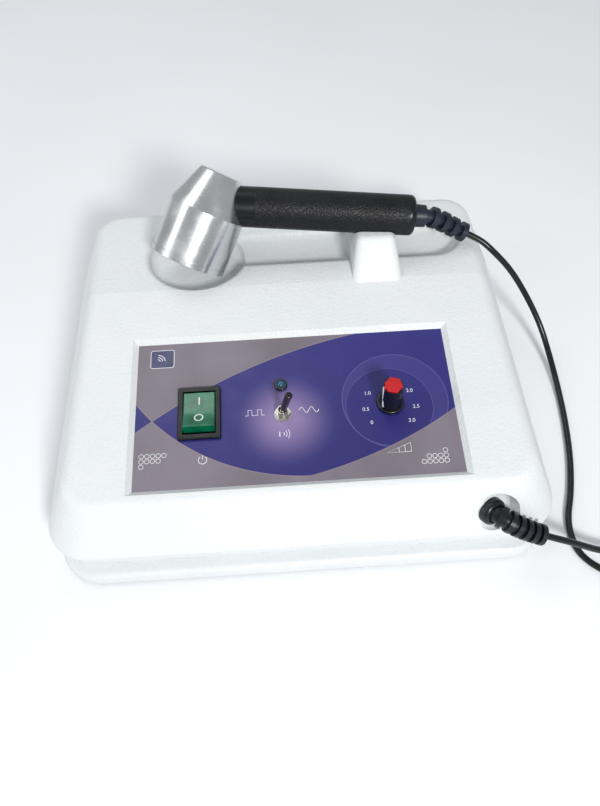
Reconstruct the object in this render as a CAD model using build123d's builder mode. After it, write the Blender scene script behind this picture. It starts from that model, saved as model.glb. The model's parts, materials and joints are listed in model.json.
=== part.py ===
from build123d import *
import os
from math import cos, pi, radians, sin, tan

# Ultrasound therapy unit: a wedge-shaped desk case with a sloping control panel, and a handpiece that
# lies across its rear deck, with its head in a cup and its handle on a saddle.
# Millimetres. +Z up, +X to the user's right, +Y to the rear. Origin: centre of the base, on the table.

os.makedirs("parts", exist_ok=True)

# ---- driving dimensions: case ----
CASE_W = 300.0          # widest, at the waist
CASE_FRONT = -119.5     # front of the waist
CASE_REAR = 123.4       # rear of the waist
CORNER_R = 26.0         # plan radius of the corners at the waist
CORNER_SHRINK = 0.16    # corner radius lost per millimetre of height
WAIST_Z = 20.0          # height of the widest line
LOFT_TOP_Z = 84.0       # the walls are lofted to here, then cut by the roof
SIDE_DRAFT = 24.5       # degrees from vertical
FRONT_DRAFT = 25.7
REAR_DRAFT = 5.6
FOLD_Y, FOLD_Z = -101.5, 57.0    # edge between the front wall and the panel
PANEL_TILT = 6.0                 # degrees, rising to the rear
CREASE_Y = 42.0                  # edge between the panel and the flat deck
DECK_Z = FOLD_Z + (CREASE_Y - FOLD_Y) * tan(radians(PANEL_TILT))
EDGE_R = 9.0            # rounding of the roof's outer edges
WALL = 3.0

# ---- base tray and lower band ----
FOOT_H = 1.5
TRAY_W, TRAY_FRONT, TRAY_REAR = 284.0, -123.0, 119.0
TRAY_TOP_Z = 12.0
TRAY_CORNER_R = 22.0
TRAY_FLOOR = 3.0
BAND_INSET = 10.0       # the lower band of the upper case stands this far inside the waist
FLOOR_Z = FOOT_H + TRAY_FLOOR

# ---- label recess and panel plate, in panel coordinates (x, distance up the slope) ----
LABEL_X, LABEL_T = -0.4, 56.8
LABEL_W, LABEL_H = 186.0, 96.0
LABEL_DEPTH = 3.0       # label surface below the panel
PLATE_T = 1.5
BEVEL_W = 3.0
WINDOW_W, WINDOW_H = 168.0, 80.0

# ---- controls, in panel coordinates ----
ROCKER_X, ROCKER_T = -56.1, 55.4
LAMP_X, LAMP_T = -8.0, 71.0
TOGGLE_X, TOGGLE_T = -7.8, 51.8
KNOB_X, KNOB_T = 55.2, 54.8

# ---- cradle ----
CUP_X, CUP_Y, CUP_R, CUP_FLOOR_Z = -58.0, 75.0, 32.0, 60.0
TROUGH_Y, TROUGH_HALF, TROUGH_FLOOR_Z = 79.0, 17.0, 63.0
TROUGH_END_X = 98.0
SADDLE_X, SADDLE_FOOT, SADDLE_TOP_Z = 57.5, 30.5, 92.0
SADDLE_FRONT, SADDLE_REAR = 38.0, 113.0
SADDLE_LEAN = 11.0      # degrees that its sides lean in

# ---- handpiece ----
JOINT_AT = Vector(-46.3, 82.4, 104.4)              # where the handle's axis meets the head's axis
GRIP_DIR = Vector(0.9946, -0.0689, -0.0775).normalized()
HEAD_DIR = Vector(0.4514, 0.5436, 0.7077).normalized()
HEAD_R, HEAD_TOP_R = 24.4, 13.4
HEAD_LOW, SEAM_UP, HEAD_TOP = 37.9, 34.1, 58.5     # rim to joint; seam and top above the rim
GRIP_R, GRIP_START, GRIP_END = 12.7, 12.0, 130.4
HEAD = Plane(origin=JOINT_AT - HEAD_DIR * HEAD_LOW, x_dir=GRIP_DIR - HEAD_DIR * GRIP_DIR.dot(HEAD_DIR),
             z_dir=HEAD_DIR)

# ---- cable gland, in a pocket that faces forwards and to the right ----
GLAND_DIR = Vector(0.50, -0.78, 0.37).normalized()
GLAND = Plane(origin=(105.2, -107.8, 37.6), x_dir=(0.79, 0.61, 0), z_dir=GLAND_DIR)
GLAND_STUD_R = 5.4
GLAND_TIP = Vector(133.5, -122.5, 31.0)
GLAND_TIP_DIR = Vector(0.94, -0.18, -0.30).normalized()

# ---- mains inlet, in a pocket of the rear wall ----
INLET_X, INLET_Z = -84.0, 38.0
POCKET_Y, POCKET_W, POCKET_H = 116.0, 60.0, 36.0
INLET_BODY_W, INLET_BODY_H, INLET_BODY_DEEP, INLET_FLANGE_T = 27.6, 24.6, 23.0, 2.6
INLET_PITCH = 40.0      # between the inlet's two screws
INLET_FACE = Plane(origin=(INLET_X, POCKET_Y, INLET_Z), x_dir=(-1, 0, 0), z_dir=(0, 1, 0))

# ---- fasteners and feet ----
BOSS_PLACES = [(x, y) for x in (-120.0, 120.0) for y in (-84.0, 90.0)]
FOOT_PLACES = [(x, y) for x in (-98.0, 98.0) for y in (-98.0, 96.0)]

# ---- lead ----
LEAD_R = 2.0
COIL_X, COIL_Y, COIL_R, COIL_WIDE, COIL_HIGH = 230.0, -132.0, 23.0, 12.0, 12.0


def panel_plane(x, t, h=0.0):
    """Plane parallel to the panel, with its origin at panel coordinates x, t and height h."""
    across = Vector(0, cos(radians(PANEL_TILT)), sin(radians(PANEL_TILT)))
    out = Vector(0, -sin(radians(PANEL_TILT)), cos(radians(PANEL_TILT)))
    origin = Vector(x, FOLD_Y, FOLD_Z) + across * t + out * h
    return Plane(origin=origin, x_dir=(1, 0, 0), z_dir=out)


def grip_plane(s):
    """Plane across the handle at distance s from the joint with the head."""
    return Plane(origin=JOINT_AT + GRIP_DIR * s, x_dir=HEAD.y_dir, z_dir=GRIP_DIR)


def case_block(inset, low, high):
    """Drafted block between two heights, inset from the outer walls."""
    with BuildPart() as block:
        for z in (low, high):
            rise = z - WAIST_Z
            width = CASE_W - 2 * (rise * tan(radians(SIDE_DRAFT)) + inset)
            front = CASE_FRONT + rise * tan(radians(FRONT_DRAFT)) + inset
            rear = CASE_REAR - rise * tan(radians(REAR_DRAFT)) - inset
            with BuildSketch(Plane.XY.offset(z)):
                with Locations((0, (front + rear) / 2)):
                    RectangleRounded(width, rear - front, CORNER_R - rise * CORNER_SHRINK - inset)
        loft()
    return block.part


def above_roof(drop):
    """Everything above the roof line, lowered by drop."""
    slope = tan(radians(PANEL_TILT))
    with BuildPart() as space:
        with BuildSketch(Plane.YZ):
            with BuildLine():
                Polyline((-200, DECK_Z - drop - (CREASE_Y + 200) * slope), (CREASE_Y, DECK_Z - drop),
                         (200, DECK_Z - drop), (200, 200), (-200, 200), close=True)
            make_face()
        extrude(amount=200, both=True)
    return space.part


def cup_solid(grow, lip):
    """Space of the cup, grown by a wall, with its lip rolled outwards by lip."""
    floor = CUP_FLOOR_Z - grow
    radius = CUP_R + grow
    bend = 7.0 + grow
    with BuildPart() as space:
        with BuildSketch(Plane(origin=(CUP_X, CUP_Y, 0), x_dir=(1, 0, 0), z_dir=(0, -1, 0))):
            with BuildLine():
                Line((0, floor), (radius - bend, floor))
                RadiusArc((radius - bend, floor), (radius, floor + bend), -bend)
                Line((radius, floor + bend), (radius, DECK_Z - lip))
                RadiusArc((radius, DECK_Z - lip), (radius + lip, DECK_Z), lip)
                Polyline((radius + lip, DECK_Z), (radius + lip, DECK_Z + 9), (0, DECK_Z + 9), (0, floor))
            make_face()
        revolve(axis=Axis((CUP_X, CUP_Y, 0), (0, 0, 1)))
    return space.part


def trough_profile(plane, grow, lip):
    """Half section of the trough, as a face."""
    floor = TROUGH_FLOOR_Z - grow
    half = TROUGH_HALF + grow
    bend = 5.0 + grow
    with BuildSketch(plane) as face:
        with BuildLine():
            Line((0, floor), (half - bend, floor))
            RadiusArc((half - bend, floor), (half, floor + bend), -bend)
            Line((half, floor + bend), (half, DECK_Z - lip))
            RadiusArc((half, DECK_Z - lip), (half + lip, DECK_Z), lip)
            Polyline((half + lip, DECK_Z), (half + lip, DECK_Z + 9), (0, DECK_Z + 9), (0, floor))
        make_face()
    return face.sketch


def trough_solid(grow, lip):
    """Space of the trough: a straight run from the cup, closed by a round end."""
    section = Plane(origin=(TROUGH_END_X, TROUGH_Y, 0), x_dir=(0, 1, 0), z_dir=(1, 0, 0))
    with BuildPart() as space:
        with BuildSketch(section):
            add(trough_profile(Plane.XY, grow, lip))
            mirror(about=Plane.YZ)
        extrude(amount=-(TROUGH_END_X - CUP_X))
        with BuildSketch(section):
            add(trough_profile(Plane.XY, grow, lip))
        revolve(axis=Axis((TROUGH_END_X, TROUGH_Y, 0), (0, 0, 1)))
    return space.part


def scoop_solid(grow):
    """Bowl-mouthed pocket of the gland, grown by a wall."""
    flat, bowl, reach = 9.4 + grow, 3.6, 30.0
    section = Plane(origin=GLAND.origin, x_dir=GLAND.x_dir, z_dir=-GLAND.y_dir)
    with BuildPart() as space:
        with BuildSketch(section):
            with BuildLine():
                Line((0, -grow), (flat, -grow))
                RadiusArc((flat, -grow), (flat + bowl, bowl - grow), -bowl)
                Polyline((flat + bowl, bowl - grow), (flat + bowl, reach), (0, reach), (0, -grow))
            make_face()
        revolve(axis=Axis(GLAND.origin, GLAND.z_dir))
    return space.part


def inlet_pocket(grow):
    """Flat-bottomed pocket in the rear wall, grown by a wall."""
    with BuildPart() as space:
        with BuildSketch(INLET_FACE.offset(-grow)):
            RectangleRounded(POCKET_W + 2 * grow, POCKET_H + 2 * grow, 3.0 + grow)
        extrude(amount=20)
    return space.part


def band(inset, low, high):
    """Straight block with the plan of the lower band, inset by a wall."""
    width = CASE_W - 2 * (BAND_INSET + inset)
    front = CASE_FRONT + BAND_INSET / 2 + inset
    rear = CASE_REAR - BAND_INSET - inset
    with BuildPart() as block:
        with BuildSketch(Plane.XY.offset(low)):
            with Locations((0, (front + rear) / 2)):
                RectangleRounded(width, rear - front, CORNER_R - BAND_INSET - inset)
        extrude(amount=high - low)
    return block.part


def saddle_solid():
    """Two prongs on a solid foot, with drafted sides and soft edges; the handle's seat is cut later."""
    prong_front, prong_rear = 57.5, 93.5
    sunk, foot_z = TROUGH_FLOOR_Z - 1, DECK_Z - 1.5
    with BuildPart() as saddle:
        with BuildSketch(Plane.YZ.offset(SADDLE_X - SADDLE_FOOT / 2)):
            with BuildLine():
                Polyline((SADDLE_FRONT, foot_z), (prong_front, SADDLE_TOP_Z),
                         (prong_rear, SADDLE_TOP_Z), (SADDLE_REAR, foot_z),
                         (TROUGH_Y + 18.0, sunk), (TROUGH_Y - 18.0, sunk), close=True)
            make_face()
        extrude(amount=SADDLE_FOOT)
        with BuildSketch(Plane(origin=(SADDLE_X, 0, 0), x_dir=(1, 0, 0), z_dir=(0, -1, 0))):
            with Locations((0, sunk)):
                Trapezoid(SADDLE_FOOT + 5, SADDLE_TOP_Z - sunk + 1, 90 - SADDLE_LEAN,
                          align=(Align.CENTER, Align.MIN))
        extrude(amount=-130, mode=Mode.INTERSECT)
        top = saddle.edges().filter_by(lambda edge: edge.center().Z > DECK_Z + 4)
        fillet(top, radius=4.5)
    return saddle.part


# ================= case =================

with BuildPart() as case_space:
    add(case_block(WALL, WAIST_Z + WALL, LOFT_TOP_Z))
    add(above_roof(WALL), mode=Mode.SUBTRACT)
    add(band(WALL, TRAY_TOP_Z, WAIST_Z + WALL + 1))
    add(cup_solid(WALL, 1.0), mode=Mode.SUBTRACT)
    add(trough_solid(WALL, 1.0), mode=Mode.SUBTRACT)
    add(scoop_solid(WALL), mode=Mode.SUBTRACT)
    add(inlet_pocket(WALL), mode=Mode.SUBTRACT)
    with BuildSketch(panel_plane(LABEL_X, LABEL_T)):
        Rectangle(LABEL_W + 2 * BEVEL_W + 2 * WALL, LABEL_H + 2 * BEVEL_W + 2 * WALL)
    extrude(amount=-(LABEL_DEPTH + PLATE_T + WALL), mode=Mode.SUBTRACT)
    with BuildSketch(Plane.XY.offset(TRAY_TOP_Z)):
        with Locations(*BOSS_PLACES):
            Circle(5.0)
    extrude(amount=LOFT_TOP_Z, mode=Mode.SUBTRACT)

with BuildPart() as upper_case:
    add(case_block(0, WAIST_Z, LOFT_TOP_Z))
    add(above_roof(0), mode=Mode.SUBTRACT)
    roof = upper_case.faces().sort_by(Axis.Z)[-2:]
    rim = [edge for face in roof for edge in face.edges() if abs(edge.center().Y - CREASE_Y) > 0.5
           or abs(edge.center().X) > 1]
    fillet(rim, radius=EDGE_R)
    waist = [edge for edge in upper_case.edges() if abs(edge.center().Z - WAIST_Z) < 0.01]
    fillet(waist, radius=4.0)
    add(band(0, TRAY_TOP_Z, WAIST_Z + 2))
    add(cup_solid(0, 4.0), mode=Mode.SUBTRACT)
    add(trough_solid(0, 4.0), mode=Mode.SUBTRACT)
    add(scoop_solid(0), mode=Mode.SUBTRACT)
    add(inlet_pocket(0), mode=Mode.SUBTRACT)
    add(saddle_solid())
    with BuildSketch(grip_plane(60)):
        Circle(GRIP_R + 0.4)
    extrude(amount=80, mode=Mode.SUBTRACT)
    # label recess with mitred bevels, seat for the plate, window for the controls
    with BuildSketch(panel_plane(LABEL_X, LABEL_T)):
        Rectangle(LABEL_W + 2 * BEVEL_W, LABEL_H + 2 * BEVEL_W)
    extrude(amount=-LABEL_DEPTH, taper=45, mode=Mode.SUBTRACT)
    with BuildSketch(panel_plane(LABEL_X, LABEL_T, -LABEL_DEPTH)):
        Rectangle(LABEL_W + 0.4, LABEL_H + 0.4)
    extrude(amount=-PLATE_T, mode=Mode.SUBTRACT)
    with BuildSketch(panel_plane(LABEL_X, LABEL_T, -LABEL_DEPTH)):
        RectangleRounded(WINDOW_W, WINDOW_H, 6.0)
    extrude(amount=-12, mode=Mode.SUBTRACT)
    add(case_space.part, mode=Mode.SUBTRACT)
    # screw holes in the bosses, gland hole, inlet hole
    with BuildSketch(Plane.XY.offset(TRAY_TOP_Z)):
        with Locations(*BOSS_PLACES):
            Circle(1.45)
    extrude(amount=14, mode=Mode.SUBTRACT)
    with BuildSketch(GLAND.offset(-8)):
        Circle(GLAND_STUD_R + 0.2)
    extrude(amount=10, mode=Mode.SUBTRACT)
    with BuildSketch(INLET_FACE.offset(1)):
        Rectangle(INLET_BODY_W + 0.8, INLET_BODY_H + 0.8)
        with Locations((-INLET_PITCH / 2, 0), (INLET_PITCH / 2, 0)):
            Circle(1.25)
    extrude(amount=-8, mode=Mode.SUBTRACT)
upper_case.part.label = "upper_case"
export_step(upper_case.part, "parts/upper_case.step")

with BuildPart() as base_tray:
    tray_mid = (TRAY_FRONT + TRAY_REAR) / 2
    with BuildSketch(Plane.XY.offset(FOOT_H)):
        with Locations((0, tray_mid)):
            RectangleRounded(TRAY_W, TRAY_REAR - TRAY_FRONT, TRAY_CORNER_R)
    extrude(amount=TRAY_TOP_Z - FOOT_H)
    fillet(base_tray.edges().group_by(Axis.Z)[-1], radius=3.0)
    fillet(base_tray.edges().group_by(Axis.Z)[0], radius=1.0)
    with BuildSketch(Plane.XY.offset(TRAY_TOP_Z)):
        with Locations((0, (CASE_FRONT + CASE_REAR - BAND_INSET / 2) / 2)):
            RectangleRounded(CASE_W - 2 * BAND_INSET - 8, CASE_REAR - CASE_FRONT - 1.5 * BAND_INSET - 8, 12.0)
    extrude(amount=-(TRAY_TOP_Z - FLOOR_Z), mode=Mode.SUBTRACT)
    with BuildSketch(Plane.XY.offset(FLOOR_Z)):
        with Locations(*BOSS_PLACES):
            Circle(6.0)
    extrude(amount=TRAY_TOP_Z - FLOOR_Z)
    with Locations(*[Location((x, y, FOOT_H), (180, 0, 0)) for x, y in BOSS_PLACES]):
        CounterBoreHole(radius=1.8, counter_bore_radius=3.6, counter_bore_depth=3.2, depth=12)
    with BuildSketch(Plane.XY.offset(FOOT_H)):
        with Locations(*FOOT_PLACES):
            Circle(8.2)
    extrude(amount=1.0, mode=Mode.SUBTRACT)
    # cooling slots under the transformer
    with BuildSketch(Plane.XY.offset(FOOT_H)):
        with Locations((-60, 70)):
            with GridLocations(9.0, 1, 6, 1):
                SlotOverall(36, 3.2, rotation=90)
    extrude(amount=TRAY_FLOOR, mode=Mode.SUBTRACT)
base_tray.part.label = "base_tray"
export_step(base_tray.part, "parts/base_tray.step")

with BuildPart() as feet:
    with BuildSketch():
        with Locations(*FOOT_PLACES):
            Circle(8.0)
    extrude(amount=FOOT_H + 1.0)
    chamfer(feet.edges().group_by(Axis.Z)[0], length=0.5)
feet.part.label = "feet"
export_step(feet.part, "parts/feet.step")

with BuildPart() as case_screws:
    head_z = FOOT_H + 0.4
    with BuildSketch(Plane.XY.offset(head_z)):
        with Locations(*BOSS_PLACES):
            Circle(3.2)
    extrude(amount=2.4)
    with BuildSketch(Plane.XY.offset(head_z)):
        with Locations(*BOSS_PLACES):
            Circle(1.4)
    extrude(amount=20)
    with BuildSketch(Plane.XY.offset(head_z)):
        with Locations(*BOSS_PLACES):
            Rectangle(4.2, 0.8)
            Rectangle(0.8, 4.2)
    extrude(amount=1.3, mode=Mode.SUBTRACT)
case_screws.part.label = "case_screws"
export_step(case_screws.part, "parts/case_screws.step")

# ================= panel and its controls =================
# heights are above the label surface

def label_plane(x, t, h=0.0):
    """Plane parallel to the label, h above its printed surface."""
    return panel_plane(x, t, h - LABEL_DEPTH)


BEZEL_W, BEZEL_H, BEZEL_T = 25.0, 34.0, 2.0
ROCKER_W, ROCKER_HALF, ROCKER_TILT = 18.4, 12.2, 9.0
ROCKER_PIVOT_H = -4.2
ROCKER_TOP = 8.2        # rocker's end above its pivot
SWITCH_BODY_W, SWITCH_BODY_H, SWITCH_BODY_DEEP = 21.6, 29.0, 24.0
LAMP_HOLE_R, BUSHING_R, POT_BUSHING_R = 3.1, 3.0, 3.6

with BuildPart() as front_panel:
    with BuildSketch(label_plane(LABEL_X, LABEL_T)):
        Rectangle(LABEL_W, LABEL_H)
    extrude(amount=-PLATE_T)
    with BuildSketch(label_plane(ROCKER_X, ROCKER_T)):
        Rectangle(SWITCH_BODY_W + 0.4, SWITCH_BODY_H + 0.4)
    extrude(amount=-PLATE_T, mode=Mode.SUBTRACT)
    for x, t, r in ((LAMP_X, LAMP_T, LAMP_HOLE_R), (TOGGLE_X, TOGGLE_T, BUSHING_R + 0.1),
                    (KNOB_X, KNOB_T, POT_BUSHING_R + 0.1)):
        with BuildSketch(label_plane(x, t)):
            Circle(r)
        extrude(amount=-PLATE_T, mode=Mode.SUBTRACT)
front_panel.part.label = "front_panel"
export_step(front_panel.part, "parts/front_panel.step")

with BuildPart() as switch_body:
    with BuildSketch(label_plane(ROCKER_X, ROCKER_T)):
        RectangleRounded(BEZEL_W, BEZEL_H, 1.2)
    extrude(amount=BEZEL_T)
    fillet(switch_body.faces().sort_by(Axis.Z)[-1].edges(), radius=0.7)
    with BuildSketch(label_plane(ROCKER_X, ROCKER_T)):
        Rectangle(SWITCH_BODY_W, SWITCH_BODY_H)
    extrude(amount=-SWITCH_BODY_DEEP)
    with BuildSketch(label_plane(ROCKER_X, ROCKER_T, BEZEL_T)):
        Rectangle(ROCKER_W + 0.8, 2 * ROCKER_HALF + 3.6)
    extrude(amount=-(BEZEL_T - ROCKER_PIVOT_H + 7.5), mode=Mode.SUBTRACT)
switch_body.part.label = "switch_body"
export_step(switch_body.part, "parts/switch_body.step")

rocker_plane = label_plane(ROCKER_X, ROCKER_T, ROCKER_PIVOT_H).rotated((-ROCKER_TILT, 0, 0))
rocker_side = Plane(origin=rocker_plane.origin, x_dir=rocker_plane.y_dir, z_dir=rocker_plane.x_dir)
with BuildPart() as rocker_button:
    with BuildSketch(rocker_side):
        with BuildLine():
            Polyline((-5.0, 0), (-ROCKER_HALF, 1.5), (-ROCKER_HALF, ROCKER_TOP))
            ThreePointArc((-ROCKER_HALF, ROCKER_TOP), (0, ROCKER_TOP - 1.3), (ROCKER_HALF, ROCKER_TOP))
            Polyline((ROCKER_HALF, ROCKER_TOP), (ROCKER_HALF, 1.5), (5.0, 0))
            ThreePointArc((5.0, 0), (0, -5.0), (-5.0, 0))
        make_face()
    extrude(amount=ROCKER_W / 2, both=True)
    crown = rocker_button.edges().filter_by(lambda edge: (edge.center() - rocker_plane.origin).dot(
        rocker_plane.z_dir) > ROCKER_TOP - 2.5)
    fillet(crown, radius=0.6)
rocker_button.part.label = "rocker_button"
export_step(rocker_button.part, "parts/rocker_button.step")

with BuildPart() as switch_terminals:
    with BuildSketch(label_plane(ROCKER_X, ROCKER_T, -SWITCH_BODY_DEEP)):
        with GridLocations(11.0, 9.0, 2, 2):
            Rectangle(0.8, 4.8)
    extrude(amount=-7.5)
switch_terminals.part.label = "switch_terminals"
export_step(switch_terminals.part, "parts/switch_terminals.step")

with BuildPart() as lamp_holder:
    with BuildSketch(label_plane(LAMP_X, LAMP_T)):
        Circle(3.9)
    extrude(amount=1.9)
    fillet(lamp_holder.faces().sort_by(Axis.Z)[-1].edges(), radius=0.8)
    with BuildSketch(label_plane(LAMP_X, LAMP_T)):
        Circle(LAMP_HOLE_R - 0.05)
    extrude(amount=-8)
    with BuildSketch(label_plane(LAMP_X, LAMP_T, 3)):
        Circle(2.55)
    extrude(amount=-12, mode=Mode.SUBTRACT)
lamp_holder.part.label = "lamp_holder"
export_step(lamp_holder.part, "parts/lamp_holder.step")

with BuildPart() as lamp_lens:
    lens_plane = label_plane(LAMP_X, LAMP_T, -6.5)
    with BuildSketch(Plane(origin=lens_plane.origin, x_dir=(1, 0, 0), z_dir=-lens_plane.y_dir)):
        with BuildLine():
            Polyline((0, 7.4 + 2.5), (0, 0), (2.5, 0), (2.5, 7.4))
            ThreePointArc((2.5, 7.4), (2.5 * cos(pi / 4), 7.4 + 2.5 * sin(pi / 4)), (0, 7.4 + 2.5))
        make_face()
    revolve(axis=Axis(lens_plane.origin, lens_plane.z_dir))
lamp_lens.part.label = "lamp_lens"
export_step(lamp_lens.part, "parts/lamp_lens.step")

BUSHING_TOP, TOGGLE_PIVOT_H, TOGGLE_TILT = 5.8, 4.2, 13.0
with BuildPart() as toggle_body:
    with BuildSketch(label_plane(TOGGLE_X, TOGGLE_T, -PLATE_T - 0.1)):
        Rectangle(12.8, 7.6)
    extrude(amount=-10)
    fillet(toggle_body.edges().filter_by(Axis((0, 0, 0), label_plane(0, 0).z_dir)), radius=0.6)
    with BuildSketch(label_plane(TOGGLE_X, TOGGLE_T, -PLATE_T - 0.1)):
        Circle(2.6)
    extrude(amount=-3, mode=Mode.SUBTRACT)
toggle_body.part.label = "toggle_body"
export_step(toggle_body.part, "parts/toggle_body.step")

with BuildPart() as toggle_bushing:
    with BuildSketch(label_plane(TOGGLE_X, TOGGLE_T, -PLATE_T - 0.1)):
        Circle(BUSHING_R)
        Circle(2.2, mode=Mode.SUBTRACT)
    extrude(amount=PLATE_T + 0.1 + BUSHING_TOP)
    chamfer(toggle_bushing.edges().sort_by(lambda edge: edge.center().Z)[-1], length=0.3)
toggle_bushing.part.label = "toggle_bushing"
export_step(toggle_bushing.part, "parts/toggle_bushing.step")

with BuildPart() as toggle_nut:
    with BuildSketch(label_plane(TOGGLE_X, TOGGLE_T, 0.5)):
        RegularPolygon(4.0, 6, major_radius=False)
        Circle(BUSHING_R, mode=Mode.SUBTRACT)
    extrude(amount=1.8)
    with BuildSketch(label_plane(TOGGLE_X, TOGGLE_T)):
        Circle(4.9)
        Circle(BUSHING_R, mode=Mode.SUBTRACT)
    extrude(amount=0.5)
toggle_nut.part.label = "toggle_nut"
export_step(toggle_nut.part, "parts/toggle_nut.step")

toggle_pivot = label_plane(TOGGLE_X, TOGGLE_T, TOGGLE_PIVOT_H).rotated((0, TOGGLE_TILT, 0))
with BuildPart() as toggle_lever:
    with BuildSketch(toggle_pivot.offset(-4.0)):
        Circle(0.9)
    with BuildSketch(toggle_pivot.offset(17.0)):
        Circle(1.2)
    loft()
    with Locations(Location(toggle_pivot)):
        Sphere(1.95)
toggle_lever.part.label = "toggle_lever"
export_step(toggle_lever.part, "parts/toggle_lever.step")

with BuildPart() as toggle_sleeve:
    with BuildSketch(toggle_pivot.offset(2.6)):
        Circle(1.9)
    with BuildSketch(toggle_pivot.offset(19.0)):
        Circle(2.3)
    loft()
    fillet(toggle_sleeve.edges().sort_by(lambda edge: edge.center().Z)[-1], radius=1.2)
    add(toggle_lever.part, mode=Mode.SUBTRACT)
toggle_sleeve.part.label = "toggle_sleeve"
export_step(toggle_sleeve.part, "parts/toggle_sleeve.step")

SHAFT_R, KNOB_GAP, KNOB_TOP = 3.0, 0.8, 21.5
KNOB_CROWN = KNOB_TOP - KNOB_GAP - 1.2     # top of the black body above its base
SKIRT_R, KNOB_LOW_R, KNOB_HIGH_R, CAP_R = 8.1, 7.0, 5.7, 4.4
POINTER_ANGLE = 225.0
with BuildPart() as pot_body:
    with BuildSketch(label_plane(KNOB_X, KNOB_T, -PLATE_T - 0.1)):
        Circle(8.2)
        Rectangle(12.0, 11.0, align=(Align.CENTER, Align.MAX))
    extrude(amount=-8.5)
    with BuildSketch(label_plane(KNOB_X, KNOB_T, -PLATE_T - 0.1)):
        Circle(POT_BUSHING_R)
    extrude(amount=PLATE_T + 0.1 + 0.6)
    with BuildSketch(label_plane(KNOB_X, KNOB_T, 0.6)):
        Circle(SHAFT_R + 0.05)
    extrude(amount=-6.0, mode=Mode.SUBTRACT)
    with BuildSketch(label_plane(KNOB_X, KNOB_T - 12.0, -PLATE_T - 5.0)):
        with GridLocations(5.0, 1, 3, 1):
            Rectangle(1.4, 6.0)
    extrude(amount=-0.6)
pot_body.part.label = "pot_body"
export_step(pot_body.part, "parts/pot_body.step")

with BuildPart() as knob_shaft:
    with BuildSketch(label_plane(KNOB_X, KNOB_T, -5.0)):
        Circle(SHAFT_R)
    extrude(amount=5.0 + KNOB_TOP - 4.0)
knob_shaft.part.label = "knob_shaft"
export_step(knob_shaft.part, "parts/knob_shaft.step")

knob_base = label_plane(KNOB_X, KNOB_T, KNOB_GAP)
with BuildPart() as knob_body:
    with BuildSketch(knob_base):
        Circle(SKIRT_R)
    extrude(amount=2.2)
    fillet(knob_body.edges().sort_by(lambda edge: edge.center().Z)[-1], radius=0.8)
    with BuildSketch(knob_base.offset(2.0)):
        RegularPolygon(KNOB_LOW_R, 12)
    with BuildSketch(knob_base.offset(KNOB_CROWN)):
        RegularPolygon(KNOB_HIGH_R, 12)
    loft()
    with BuildSketch(knob_base):
        Circle(SHAFT_R)
    extrude(amount=KNOB_TOP - 4.0 - KNOB_GAP, mode=Mode.SUBTRACT)
    with BuildSketch(knob_base.offset(KNOB_CROWN)):
        Circle(CAP_R)
    extrude(amount=-2.0, mode=Mode.SUBTRACT)
knob_body.part.label = "knob_body"
export_step(knob_body.part, "parts/knob_body.step")

with BuildPart() as knob_cap:
    with BuildSketch(knob_base.offset(KNOB_CROWN)):
        Circle(CAP_R)
    extrude(amount=-2.0)
    with BuildSketch(knob_base.offset(KNOB_CROWN)):
        RegularPolygon(5.3, 6, rotation=POINTER_ANGLE)
        with PolarLocations(5.0, 1, start_angle=197):
            Circle(0.8)
    extrude(amount=1.3)
    fillet(knob_cap.faces().sort_by(Axis.Z)[-1].edges(), radius=0.25)
knob_cap.part.label = "knob_cap"
export_step(knob_cap.part, "parts/knob_cap.step")

with BuildPart() as knob_pointer:
    pointer_side = knob_base.rotated((0, 0, POINTER_ANGLE))
    with BuildSketch(Plane(origin=pointer_side.origin, x_dir=pointer_side.x_dir, z_dir=-pointer_side.y_dir)):
        with BuildLine():
            Polyline((6.0, 3.0), (7.25, 3.0), (6.1, KNOB_CROWN), (5.2, KNOB_CROWN),
                     close=True)
        make_face()
    extrude(amount=0.45, both=True)
    add(knob_body.part, mode=Mode.SUBTRACT)
knob_pointer.part.label = "knob_pointer"
export_step(knob_pointer.part, "parts/knob_pointer.step")

# ================= gland and mains inlet =================

RELIEF_HEAD_R, RELIEF_NECK_R, RELIEF_RIB_R, RELIEF_RIBS = 8.0, 4.9, 6.6, 6
with BuildPart() as case_strain_relief:
    relief_path = Bezier(GLAND.origin + GLAND_DIR * 4, GLAND.origin + GLAND_DIR * 13,
                         GLAND_TIP - GLAND_TIP_DIR * 13, GLAND_TIP)
    with BuildSketch(GLAND):
        Circle(RELIEF_HEAD_R)
    extrude(amount=5.6)
    fillet(case_strain_relief.edges().sort_by(lambda edge: (edge.center() - GLAND.origin).dot(GLAND_DIR))[-1],
           radius=2.6)
    for t in (0.0, 0.33, 0.66, 1.0):
        with BuildSketch(Plane(origin=relief_path @ t, z_dir=relief_path % t)):
            Circle(RELIEF_NECK_R - 1.1 * t)
    loft()
    for step in range(RELIEF_RIBS):
        t = (step + 1.0) / (RELIEF_RIBS + 0.3)
        with BuildSketch(Plane(origin=relief_path @ t, z_dir=relief_path % t)):
            Circle(RELIEF_RIB_R - 0.5 * t)
        extrude(amount=1.35, both=True)
    with BuildSketch(GLAND):
        Circle(GLAND_STUD_R)
    extrude(amount=-12)
case_strain_relief.part.label = "case_strain_relief"
export_step(case_strain_relief.part, "parts/case_strain_relief.step")

with BuildPart() as gland_nut:
    with BuildSketch(GLAND.offset(-WALL)):
        RegularPolygon(8.2, 6)
        Circle(GLAND_STUD_R, mode=Mode.SUBTRACT)
    extrude(amount=-4)
gland_nut.part.label = "gland_nut"
export_step(gland_nut.part, "parts/gland_nut.step")

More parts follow.
